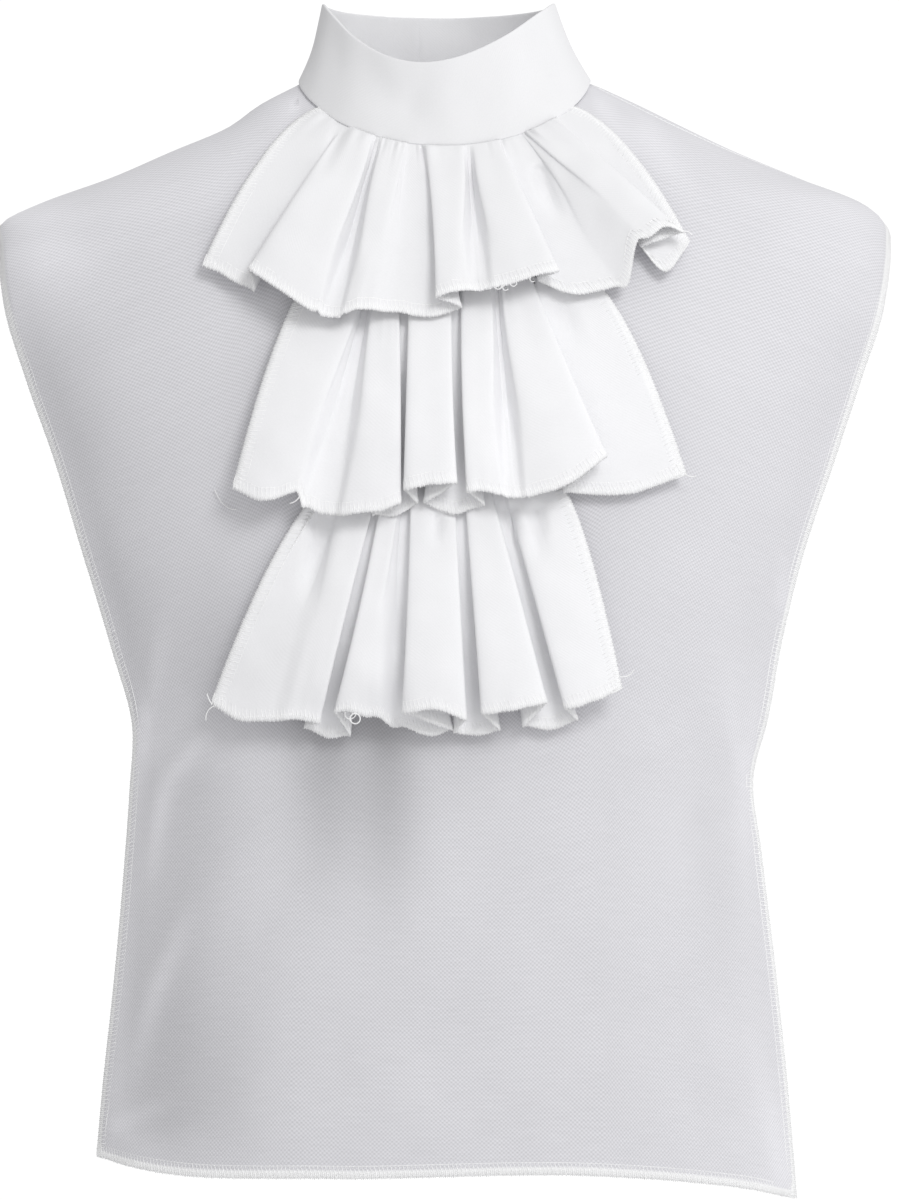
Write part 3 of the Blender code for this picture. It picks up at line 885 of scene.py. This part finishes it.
def pucker_stand(top, row, fall, depth):
    """How far the puckers beside the seam lift the cloth, at its place along the ruffle's top."""
    drift = PUCKER_DRIFT * waver(PUCKER_DRIFT_SIZE, top, depth)
    pucker = math.sin(2.0 * math.pi * (top / PUCKER_PITCH + drift))
    swing = PUCKER_RISE_SWING * waver(PUCKER_RISE_SIZE, top, depth, PUCKER_RISE_LAYER)
    pucker *= ease(PUCKER_RISE_MIDDLE + swing)
    swing = PUCKER_REACH_SWING * waver(PUCKER_REACH_SIZE, top, PUCKER_REACH_LAYER, depth)
    reach = PUCKER_REACH * (1.0 + swing)
    return PUCKER_RISE * pucker * ease(row / PUCKER_START_ROWS) * math.exp(-fall * depth / reach)


def ruffle_points(ruffle):
    """A gathered ruffle, whose folds are small at the seam and stand out wide at the hem."""
    steps = (FOLD_STEPS * len(ruffle.folds))[1:-2]
    depth = ruffle.cut_depth / MM
    tops = None
    lines = []
    for row in range(RUFFLE_ROWS + 1):
        fall = (row / RUFFLE_ROWS) ** RUFFLE_ROW_POWER
        curve = round_curve(fold_cage(ruffle, fall), steps)
        tops = tops or [point[0] for point in curve]
        near_hem = math.exp(-(1.0 - fall) * depth / HEM_WAVE_REACH)
        line = []
        for number, ((x, height, stand), top) in enumerate(zip(curve, tops)):
            stand += pucker_stand(top, row, fall, depth)
            stand += HEM_WAVE_RISE * near_hem * waver(HEM_WAVE_SIZE, x, stand, depth)
            height += HEM_UNEVEN * near_hem * waver(HEM_UNEVEN_SIZE, x, stand, depth)
            height += HEM_RAGGED * near_hem * waver(HEM_RAGGED_SIZE, number * HEM_RAGGED_STEP, depth)
            stand += SOFTNESS * waver(RUFFLE_WAVER_SIZE, x, height, stand) * ease(fall * RUFFLE_SOFT_RATE)
            stand = max(stand + crease_rise(x, height, ruffle.pockets), STAND_LEAST)
            y = front_y(x, height) - crease_rise(x, height)
            line.append((x, y - stand * slant(x, height), height))
        lines.append(line)
    return np.array(lines)


def lengths_along(lines):
    """The mean running length along the lines, in metres of cloth."""
    spans = np.linalg.norm(np.diff(lines, axis=1), axis=2).mean(axis=0)
    return np.concatenate([[0.0], np.cumsum(spans)]) * MM


def sheet_object(name, points, thickness, material, overlocked=(), offset=-1.0, lifts=None):
    """A thin cloth over a grid of points, with a UV map in metres of cloth.

    Its from_edge attribute is how far each point is from the nearest overlocked edge, and its
    lifted attribute how many millimetres it stands off the figure, where the lifts are given.
    """
    rows, columns = len(points) - 1, len(points[0]) - 1
    across = lengths_along(points)
    down = lengths_along(points.transpose(1, 0, 2))
    grid = bmesh.new()
    bmesh.ops.create_grid(grid, x_segments=columns, y_segments=rows, size=1.0)
    cloth = grid.loops.layers.uv.new("cloth")
    from_edge = grid.verts.layers.float.new("from_edge")
    lifted = grid.verts.layers.float.new("lifted")
    places = {}
    for vertex in grid.verts:
        column = round((vertex.co.x + 1.0) / 2.0 * columns)
        row = round((1.0 - vertex.co.y) / 2.0 * rows)
        places[vertex] = (across[column], -down[row])
        reaches = {
            "left": across[column],
            "right": across[-1] - across[column],
            "hem": down[-1] - down[row],
        }
        vertex[from_edge] = min([reaches[edge] for edge in overlocked], default=1.0)
        if lifts is not None:
            vertex[lifted] = lifts[row][column]
        vertex.co = Vector(points[row, column]) * MM
    for face in grid.faces:
        for loop in face.loops:
            loop[cloth].uv = places[loop.vert]
    mesh = bpy.data.meshes.new(name)
    grid.to_mesh(mesh)
    grid.free()
    mesh.shade_smooth()
    mesh.materials.append(material)
    sheet = bpy.data.objects.new(name, mesh)
    bpy.context.scene.collection.objects.link(sheet)
    wall = sheet.modifiers.new("wall", "SOLIDIFY")
    wall.thickness = thickness
    wall.offset = offset
    return sheet


def edge_run(points, edge):
    """The line of an edge, the directions into the cloth, and the directions out of its face."""
    if edge == "left":
        line, inner = points[:, 0], points[:, 2]
    elif edge == "right":
        line, inner = points[::-1, -1], points[::-1, -3]
    else:
        line, inner = points[-1], points[-3]
    inward = inner - line
    inward /= np.linalg.norm(inward, axis=1)[:, None]
    face = np.cross(np.gradient(line, axis=0), inward)
    face /= np.linalg.norm(face, axis=1)[:, None]
    return line, inward, face


def overlock_paths(run, sizes, thickness, middle, proud):
    """The threads of one overlocked edge: bars across it, loops round the edge and the needle line."""
    line, inward, face = run
    spans = np.linalg.norm(np.diff(line, axis=0), axis=1)
    lengths = np.concatenate([[0.0], np.cumsum(spans)])
    pitch = sizes.stitch_pitch / MM
    width = sizes.overlock_width / MM
    lift = thickness / MM / 2.0 + sizes.thread / MM * proud
    count = int(lengths[-1] / pitch)

    def at(stitch, across, up):
        place = stitch * pitch
        point, into, out = (
            np.array([np.interp(place, lengths, side[:, axis]) for axis in range(3)])
            for side in (line, inward, face)
        )
        return (point + into * across + out * (up + middle)) * MM

    bars = []
    for stitch in range(count):
        uneven = BAR_UNEVEN * waver(BAR_UNEVEN_SIZE, stitch, width)
        reach = width * (1.0 + BAR_REACH_SWING * uneven)
        bars.append(at(stitch + uneven - BAR_SLANT, reach, lift))
        bars.append(at(stitch + BAR_MIDDLE - BAR_SLANT / 2.0, width / 2.0, lift * BAR_ARCH))
        bars.append(at(stitch + BAR_TURN_START + uneven, -EDGE_OVERHANG, lift * BAR_TURN_LIFT))
        bars.append(at(stitch + BAR_TURN_END + uneven, -EDGE_OVERHANG, -lift * BAR_TURN_LIFT))
        bars.append(at(stitch + BAR_END, reach, -lift))
    loops = []
    for step in range(count * LOOPS_A_STITCH * LOOP_POINTS):
        angle = -2.0 * math.pi * step / LOOP_POINTS
        stitch = step / LOOP_POINTS / LOOPS_A_STITCH
        reach = width * LOOP_SHARE * (1.0 + LOOP_SWING * waver(LOOP_SIZE, stitch, width))
        swing = OVERHANG_SWING * waver(OVERHANG_SIZE, stitch, width, OVERHANG_LAYER)
        overhang = EDGE_OVERHANG * (1.0 + swing)
        across = (reach + overhang) * (1.0 + math.cos(angle)) / 2.0 - overhang
        loops.append(at(stitch, across, lift * LOOP_LIFT * math.sin(angle)))
    needle = []
    for step in range(count * 2):
        across = width * (1.0 + NEEDLE_ZIGZAG * (step % 2))
        needle.append(at(step / 2.0, across, lift * NEEDLE_SHARE))
    return [bars, loops, needle]


def thread_object(name, paths, thickness):
    """Round white threads along the paths, as one mesh."""
    curve = bpy.data.curves.new(name, "CURVE")
    curve.dimensions = "3D"
    curve.bevel_depth = thickness / 2.0
    curve.bevel_resolution = 0
    curve.use_fill_caps = True
    for path in paths:
        spline = curve.splines.new("POLY")
        spline.points.add(len(path) - 1)
        for point, place in zip(spline.points, path):
            point.co = (*place, 1.0)
    lines = bpy.data.objects.new(name, curve)
    mesh = bpy.data.meshes.new_from_object(lines)
    bpy.data.objects.remove(lines)
    bpy.data.curves.remove(curve)
    mesh.shade_smooth()
    mesh.materials.clear()
    mesh.materials.append(thread_material())
    thread = bpy.data.objects.new(name, mesh)
    bpy.context.scene.collection.objects.link(thread)
    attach(thread, "root")
    return thread


def overlocking(name, points, thickness, middle=0.0, proud=THREAD_PROUD):
    """The overlock threads along a sheet's free edges."""
    sizes = bpy.context.scene.jabot_sizes
    paths = []
    for edge in FREE_EDGES:
        paths += overlock_paths(edge_run(points, edge), sizes, thickness, middle, proud)
    return thread_object(name, paths, sizes.thread)


def shoulder_seam_thread(points):
    """The thread that shows along the two shoulder seams, just below the panel's top edge."""
    sizes = bpy.context.scene.jabot_sizes
    line = mix(points[0], points[1], SEAM_THREAD_SHARE)
    line[:, 1] -= sizes.thread / MM * SEAM_THREAD_PROUD
    line[:, 2] += sizes.thread / MM * SEAM_THREAD_PROUD
    runs = (line[: SHOULDER_STEPS + 1], line[-SHOULDER_STEPS - 1 :])
    paths = [[Vector(point) * MM for point in run] for run in runs]
    return thread_object("shoulder_seams_thread", paths, sizes.thread)


def thread_end_path(end):
    """The curling line of a loose end, a little in front of where it starts."""
    x, z = end.x, end.z
    heading = math.radians(end.heading)
    path = []
    for number in range(int(end.length / THREAD_END_STEP)):
        y = front_y(x, z) - end.stand * slant(x, z) - THREAD_END_CLEARANCE
        path.append(Vector((x, y, z)) * MM)
        x += THREAD_END_STEP * math.cos(heading)
        z += THREAD_END_STEP * math.sin(heading)
        heading += math.radians(end.curl + end.curl_change * number * THREAD_END_STEP) * THREAD_END_STEP
    return path


class Nodes:
    """Adds nodes to a material and joins them."""

    def __init__(self, name):
        self.material = bpy.data.materials.new(name)
        self.material.use_nodes = True
        self.tree = self.material.node_tree
        self.shader = self.tree.nodes["Principled BSDF"]

    def add(self, kind, links=None, **settings):
        node = self.tree.nodes.new(kind)
        for key, value in settings.items():
            setattr(node, key, value)
        for socket, source in (links or {}).items():
            if isinstance(source, bpy.types.NodeSocket):
                self.tree.links.new(source, node.inputs[socket])
            else:
                node.inputs[socket].default_value = source
        return node

    def link(self, source, socket):
        self.tree.links.new(source, self.shader.inputs[socket])


def cloth_uv(nodes, scale):
    """The cloth's own coordinates, in millimetres times the scale along and down the cloth."""
    uv = nodes.add("ShaderNodeUVMap", uv_map="cloth")
    factor = 1.0 / MM
    mapping = nodes.add(
        "ShaderNodeMapping",
        {"Vector": uv.outputs["UV"], "Scale": (factor * scale[0], factor * scale[1], 1.0)},
    )
    return mapping.outputs["Vector"]


def edge_band(nodes, colour, sizes, thread_share):
    """The colour, mixed with the thread's where the overlock loops cover the cloth."""
    distance = nodes.add("ShaderNodeAttribute", attribute_name="from_edge")
    band = nodes.add(
        "ShaderNodeMapRange",
        {
            "Value": distance.outputs["Fac"],
            "From Min": sizes.overlock_width * LOOP_SHARE,
            "From Max": sizes.overlock_width * LOOP_SHARE * LOOP_BAND_END,
            "To Min": thread_share,
            "To Max": 0.0,
        },
    )
    blend = nodes.add("ShaderNodeMix", {"Factor": band.outputs["Result"]}, data_type="RGBA")
    nodes.tree.links.new(colour, blend.inputs["A"])
    blend.inputs["B"].default_value = (*bpy.context.scene.jabot_colours.thread, 1.0)
    return blend.outputs["Result"]


def varied(nodes, colour, vector, scale, amount):
    """The colour, a little lighter and darker from place to place."""
    cloud = nodes.add("ShaderNodeTexNoise", {"Vector": vector, "Scale": scale, "Detail": 3.0})
    return shaded(nodes, colour, cloud.outputs["Fac"], low=0.25, high=0.75, amount=amount)


def shaded(nodes, colour, pattern, low, high, amount):
    """The colour, darker where the pattern is low and lighter where it is high."""
    shade = nodes.add(
        "ShaderNodeMapRange",
        {
            "Value": pattern,
            "From Min": low,
            "From Max": high,
            "To Min": 1.0 - amount,
            "To Max": 1.0 + amount,
        },
    )
    blend = nodes.add("ShaderNodeMix", {"Factor": 1.0}, data_type="RGBA", blend_type="MULTIPLY")
    if isinstance(colour, bpy.types.NodeSocket):
        nodes.tree.links.new(colour, blend.inputs["A"])
    else:
        blend.inputs["A"].default_value = colour
    nodes.tree.links.new(shade.outputs["Result"], blend.inputs["B"])
    return blend.outputs["Result"]


def weave_bump(nodes, height, strength):
    """Gives the cloth the fine relief of its weave."""
    bump = nodes.add(
        "ShaderNodeBump", {"Height": height, "Strength": strength, "Distance": WEAVE_HEIGHT * MM}
    )
    nodes.link(bump.outputs["Normal"], "Normal")


def panel_material():
    """Thin plain-woven cloth with uneven threads running across it, and painted light and shade."""
    found = bpy.data.materials.get("thin_panel_cloth")
    if found:
        return found
    colours = bpy.context.scene.jabot_colours
    sizes = bpy.context.scene.jabot_sizes
    nodes = Nodes("thin_panel_cloth")
    flat = cloth_uv(nodes, (1.0, 1.0))
    slubs = cloth_uv(nodes, (SLUB_STRETCH, 1.0))
    # Painted light and shade: outside faces are painted lighter where the cloth lifts and darker where it
    # sinks
    normal = nodes.add("ShaderNodeNewGeometry").outputs["Normal"]
    forward = nodes.add("ShaderNodeVectorMath", {0: normal, 1: (0.0, -1.0, 0.0)}, operation="DOT_PRODUCT")
    outer = nodes.add("ShaderNodeMath", {0: forward.outputs["Value"], 1: 0.0}, operation="GREATER_THAN")
    lift = nodes.add("ShaderNodeAttribute", attribute_name="lifted")
    painted_shade_lift = nodes.add(
        "ShaderNodeMath", {0: lift.outputs["Fac"], 1: outer.outputs["Value"]}, operation="MULTIPLY"
    ).outputs["Value"]
    colour = shaded(nodes, (*colours.panel, 1.0), painted_shade_lift, -PAINTED_SHADE_LIFT, PAINTED_SHADE_LIFT, PAINTED_SHADE_SHARE)
    colour = varied(nodes, colour, flat, scale=0.02, amount=0.02)
    colour = varied(nodes, colour, slubs, scale=0.9, amount=0.03)
    colour = varied(nodes, colour, flat, scale=0.9, amount=0.03)
    twists = [
        nodes.add(
            "ShaderNodeTexWave",
            {"Vector": cloth_uv(nodes, (across, WEAVE_DOWN)), "Scale": 1.0, "Distortion": 0.5},
            bands_direction="DIAGONAL",
        ).outputs["Fac"]
        for across in (WEAVE_ACROSS, -WEAVE_ACROSS)
    ]
    weave = nodes.add("ShaderNodeMath", dict(enumerate(twists)), operation="ADD").outputs["Value"]
    colour = shaded(nodes, colour, weave, low=0.0, high=2.0, amount=0.13)
    nodes.link(edge_band(nodes, colour, sizes, thread_share=0.95), "Base Color")
    weave_bump(nodes, weave, strength=0.25)
    nodes.shader.inputs["Roughness"].default_value = 0.85
    nodes.shader.inputs["Specular IOR Level"].default_value = 0.25
    nodes.shader.inputs["Sheen Weight"].default_value = 0.2
    return nodes.material


def white_material(name, base):
    """Bright white fine twill."""
    found = bpy.data.materials.get(name)
    if found:
        return found
    sizes = bpy.context.scene.jabot_sizes
    nodes = Nodes(name)
    flat = cloth_uv(nodes, (1.0, 1.0))
    colour = varied(nodes, (*base, 1.0), flat, scale=0.05, amount=0.012)
    colour = varied(nodes, colour, flat, scale=1.1, amount=0.015)
    nodes.link(edge_band(nodes, colour, sizes, thread_share=0.2), "Base Color")
    twill = nodes.add(
        "ShaderNodeTexWave",
        {"Vector": flat, "Scale": 0.34, "Distortion": 0.6, "Detail": 1.0},
        bands_direction="DIAGONAL",
    )
    fibre = nodes.add("ShaderNodeTexNoise", {"Vector": flat, "Scale": 1.4, "Detail": 3.0})
    height = nodes.add(
        "ShaderNodeMath", {0: twill.outputs["Fac"], 1: fibre.outputs["Fac"]}, operation="ADD"
    )
    weave_bump(nodes, height.outputs["Value"], strength=0.22)
    nodes.shader.inputs["Roughness"].default_value = 0.9
    nodes.shader.inputs["Specular IOR Level"].default_value = 0.2
    nodes.shader.inputs["Sheen Weight"].default_value = 0.2
    return nodes.material


def thread_material():
    """Twisted white sewing thread."""
    found = bpy.data.materials.get("white_thread")
    if found:
        return found
    colours = bpy.context.scene.jabot_colours
    nodes = Nodes("white_thread")
    place = nodes.add("ShaderNodeTexCoord").outputs["Object"]
    nodes.link(varied(nodes, (*colours.thread, 1.0), place, scale=900.0, amount=0.05), "Base Color")
    nodes.shader.inputs["Roughness"].default_value = 0.6
    nodes.shader.inputs["Sheen Weight"].default_value = 0.3
    return nodes.material


def floor_material():
    nodes = Nodes("pale_floor")
    nodes.shader.inputs["Base Color"].default_value = (*bpy.context.scene.jabot_colours.floor, 1.0)
    nodes.shader.inputs["Roughness"].default_value = 0.9
    return nodes.material


class JabotSizes(bpy.types.PropertyGroup):
    """Sizes of the cloth and thread."""

    panel_cloth: FloatProperty(
        name="Panel cloth", description="Thickness of the panel's cloth", default=0.0005, unit="LENGTH"
    )
    ruffle_cloth: FloatProperty(
        name="Ruffle cloth", description="Thickness of the ruffles' cloth", default=0.0006, unit="LENGTH"
    )
    collar_cloth: FloatProperty(
        name="Collar", description="Thickness of the folded collar", default=0.0017, unit="LENGTH"
    )
    overlock_width: FloatProperty(
        name="Overlock width", description="Width of the overlocked band", default=0.0062, unit="LENGTH"
    )
    stitch_pitch: FloatProperty(
        name="Stitch pitch", description="Distance from stitch to stitch", default=0.0021, unit="LENGTH"
    )
    thread: FloatProperty(
        name="Thread", description="Thickness of the overlock thread", default=0.0005, unit="LENGTH"
    )


class JabotColours(bpy.types.PropertyGroup):
    """Colours of the cloth, the thread and the floor."""

    panel: FloatVectorProperty(
        name="Panel", description="Thin panel cloth", default=(0.68, 0.676, 0.704), subtype="COLOR"
    )
    ruffles: FloatVectorProperty(
        name="Ruffles", description="White ruffle cloth", default=(0.86, 0.86, 0.875), subtype="COLOR"
    )
    collar: FloatVectorProperty(
        name="Collar", description="White collar cloth", default=(0.79, 0.79, 0.803), subtype="COLOR"
    )
    thread: FloatVectorProperty(
        name="Thread", description="Overlock thread", default=(0.95, 0.95, 0.952), subtype="COLOR"
    )
    floor: FloatVectorProperty(
        name="Floor", description="Plain pale floor", default=(0.85, 0.85, 0.86), subtype="COLOR"
    )


class JabotStage(bpy.types.PropertyGroup):
    """The camera, the key light, the surroundings and the floor."""

    camera_distance: FloatProperty(
        name="Camera distance", description="From the neck to the camera", default=2.2, unit="LENGTH"
    )
    camera_height: FloatProperty(
        name="Camera height", description="Above the side neck points", default=-0.2745, unit="LENGTH"
    )
    camera_aside: FloatProperty(
        name="Camera aside", description="To the right of the neck's middle", default=0.00265, unit="LENGTH"
    )
    lens: FloatProperty(name="Lens", description="Focal length in millimetres", default=124.5)
    floor_depth: FloatProperty(
        name="Floor depth", description="How far the floor lies below the neck", default=1.4, unit="LENGTH"
    )
    key_power: FloatProperty(
        name="Key light", description="Watts, from the front, right and above", default=22.0
    )
    bright_side: FloatProperty(
        name="Bright side",
        description="Light of the surroundings from the right and the front",
        default=0.95,
    )
    dim_side: FloatProperty(
        name="Dim side", description="Light of the surroundings from the left and the back", default=0.49
    )
    backdrop: FloatProperty(
        name="Backdrop", description="How white the surroundings look behind the cloth", default=1.05
    )


class JABOT_OT_front_panel(bpy.types.Operator):
    """Lays the thin front panel on the figure and overlocks its sides and hem"""

    bl_idname = "jabot.front_panel"
    bl_label = "Front panel"

    def execute(self, context):
        thickness = context.scene.jabot_sizes.panel_cloth
        points = panel_points()
        # The lifts also paint light on the panel's ridges and shade in its hollows
        lifts = [[crease_rise(x, height) for x, _, height in line] for line in points]
        sheet = sheet_object(
            "front_panel_cloth", points, thickness, panel_material(), FREE_EDGES, lifts=lifts
        )
        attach(sheet, "root")
        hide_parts("front_panel")
        thread = overlocking("front_panel_overlock", points, thickness, -thickness / MM / 2.0)
        seams = shoulder_seam_thread(points)
        return {"FINISHED"}


class JABOT_OT_back_yokes(bpy.types.Operator):
    """Lays the two short back yokes, lapped at the centre back, and overlocks their free edges"""

    bl_idname = "jabot.back_yokes"
    bl_label = "Back yokes"

    def execute(self, context):
        thickness = context.scene.jabot_sizes.panel_cloth
        for name, side, lap_lift in (("back_yoke_left", -1, YOKE_LAP_LIFT), ("back_yoke_right", 1, 0.0)):
            points = yoke_points(side, lap_lift)
            sheet = sheet_object(
                name + "_cloth", points, thickness, panel_material(), FREE_EDGES, offset=float(side)
            )
            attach(sheet, "root")
            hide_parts(name)
            middle = side * thickness / MM / 2.0
            thread = overlocking(name + "_overlock", points, thickness, middle)
        return {"FINISHED"}


class JABOT_OT_collar(bpy.types.Operator):
    """Closes the stand collar round the neck"""

    bl_idname = "jabot.collar"
    bl_label = "Stand collar"

    def execute(self, context):
        material = white_material("collar_twill", context.scene.jabot_colours.collar)
        band = sheet_object(
            "collar_band", collar_points(), context.scene.jabot_sizes.collar_cloth, material
        )
        rounding = band.modifiers.new("folded edge", "BEVEL")
        rounding.width = COLLAR_ROUNDING * MM
        rounding.segments = COLLAR_ROUNDING_SEGMENTS
        rounding.limit_method = "ANGLE"
        rounding.angle_limit = math.radians(COLLAR_ROUNDING_ANGLE)
        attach(band, "root")
        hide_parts("collar")
        return {"FINISHED"}


class JABOT_OT_ruffles(bpy.types.Operator):
    """Gathers the three ruffles onto the front and overlocks their ends and hems"""

    bl_idname = "jabot.ruffles"
    bl_label = "Ruffles"

    def execute(self, context):
        thickness = context.scene.jabot_sizes.ruffle_cloth
        for ruffle in RUFFLES:
            # Painted shade: each ruffle's white is scaled by its own share, darkest on the top ruffle
            colour = Vector(context.scene.jabot_colours.ruffles) * ruffle.painted_shade_share
            material = white_material(ruffle.name + "_twill", colour)
            points = ruffle_points(ruffle)
            sheet = sheet_object(
                ruffle.name + "_cloth", points, thickness, material, FREE_EDGES, offset=0.0
            )
            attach(sheet, "root")
            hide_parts(ruffle.name)
            thread = overlocking(
                ruffle.name + "_overlock", points, thickness, proud=GATHERED_THREAD_PROUD
            )
        return {"FINISHED"}


class JABOT_OT_thread_ends(bpy.types.Operator):
    """Leaves a few loose thread ends at the ruffles' hems and on the panel"""

    bl_idname = "jabot.thread_ends"
    bl_label = "Loose thread ends"

    def execute(self, context):
        paths = [thread_end_path(end) for end in THREAD_ENDS]
        thread_object("thread_ends", paths, context.scene.jabot_sizes.thread * THREAD_END_THICKNESS)
        return {"FINISHED"}


def white_surroundings(tree, stage):
    """White all round, brighter from one side, and plain white where it is seen behind the cloth."""
    towards = tree.nodes.new("ShaderNodeTexCoord")
    along = tree.nodes.new("ShaderNodeVectorMath")
    along.operation = "DOT_PRODUCT"
    along.inputs[1].default_value = Vector(BRIGHT_SIDE).normalized()
    graded = tree.nodes.new("ShaderNodeMapRange")
    graded.inputs["From Min"].default_value = -1.0
    graded.inputs["To Min"].default_value = stage.dim_side
    graded.inputs["To Max"].default_value = stage.bright_side
    ray = tree.nodes.new("ShaderNodeLightPath")
    strength = tree.nodes.new("ShaderNodeMix")
    strength.inputs["B"].default_value = stage.backdrop
    background = tree.nodes["Background"]
    background.inputs["Color"].default_value = (1.0, 1.0, 1.0, 1.0)
    tree.links.new(towards.outputs["Generated"], along.inputs[0])
    tree.links.new(along.outputs["Value"], graded.inputs["Value"])
    tree.links.new(ray.outputs["Is Camera Ray"], strength.inputs["Factor"])
    tree.links.new(graded.outputs["Result"], strength.inputs["A"])
    tree.links.new(strength.outputs["Result"], background.inputs["Strength"])


def area_light(name, power, size, place, target):
    light = bpy.data.lights.new(name, "AREA")
    light.energy = power
    light.shape = "DISK"
    light.size = size
    lamp = bpy.data.objects.new(name, light)
    lamp.location = place
    lamp.rotation_euler = (Vector(target) - Vector(place)).to_track_quat("-Z", "Y").to_euler()
    bpy.context.scene.collection.objects.link(lamp)


class JABOT_OT_stage(bpy.types.Operator):
    """Sets up the pale floor, the key light, the white surroundings and the camera"""

    bl_idname = "jabot.stage"
    bl_label = "Stage"

    def execute(self, context):
        scene = context.scene
        stage = scene.jabot_stage
        disc = bmesh.new()
        bmesh.ops.create_circle(disc, cap_ends=True, segments=FLOOR_SEGMENTS, radius=FLOOR_RADIUS)
        bmesh.ops.translate(disc, vec=(0.0, 0.0, -stage.floor_depth), verts=disc.verts)
        mesh = bpy.data.meshes.new("floor")
        disc.to_mesh(mesh)
        disc.free()
        mesh.materials.append(floor_material())
        floor = bpy.data.objects.new("floor", mesh)
        scene.collection.objects.link(floor)
        world = bpy.data.worlds.new("white_surroundings")
        world.use_nodes = True
        white_surroundings(world.node_tree, stage)
        scene.world = world
        scene.view_settings.view_transform = "Standard"
        area_light("key", stage.key_power, KEY_SIZE, KEY_PLACE, KEY_TARGET)
        camera = bpy.data.cameras.new("camera")
        camera.lens = stage.lens
        camera.sensor_width = SENSOR_WIDTH
        view = bpy.data.objects.new("camera", camera)
        view.location = (stage.camera_aside, -stage.camera_distance, stage.camera_height)
        view.rotation_euler = (math.radians(90.0), 0.0, 0.0)
        scene.collection.objects.link(view)
        scene.camera = view
        return {"FINISHED"}


class JABOT_PT_sidebar(bpy.types.Panel):
    """Sizes, colours and pieces of the shirt front"""

    bl_idname = "JABOT_PT_sidebar"
    bl_label = "Jabot shirt front"
    bl_space_type = "VIEW_3D"
    bl_region_type = "UI"
    bl_category = "Jabot"

    def draw(self, context):
        column = self.layout.column()
        for group in (context.scene.jabot_sizes, context.scene.jabot_colours, context.scene.jabot_stage):
            for name in group.__annotations__:
                column.prop(group, name)
        for operator in OPERATORS:
            column.operator(operator.bl_idname)


OPERATORS = (
    JABOT_OT_front_panel,
    JABOT_OT_back_yokes,
    JABOT_OT_collar,
    JABOT_OT_ruffles,
    JABOT_OT_thread_ends,
    JABOT_OT_stage,
)
CLASSES = (JabotSizes, JabotColours, JabotStage, *OPERATORS, JABOT_PT_sidebar)


def register():
    for cls in CLASSES:
        bpy.utils.register_class(cls)
    bpy.types.Scene.jabot_sizes = PointerProperty(type=JabotSizes)
    bpy.types.Scene.jabot_colours = PointerProperty(type=JabotColours)
    bpy.types.Scene.jabot_stage = PointerProperty(type=JabotStage)


def unregister():
    del bpy.types.Scene.jabot_stage
    del bpy.types.Scene.jabot_colours
    del bpy.types.Scene.jabot_sizes
    for cls in reversed(CLASSES):
        bpy.utils.unregister_class(cls)


def main():
    register()
    bpy.ops.jabot.front_panel()
    bpy.ops.jabot.back_yokes()
    bpy.ops.jabot.collar()
    bpy.ops.jabot.ruffles()
    bpy.ops.jabot.thread_ends()
    bpy.ops.jabot.stage()


if __name__ == "__main__":
    main()
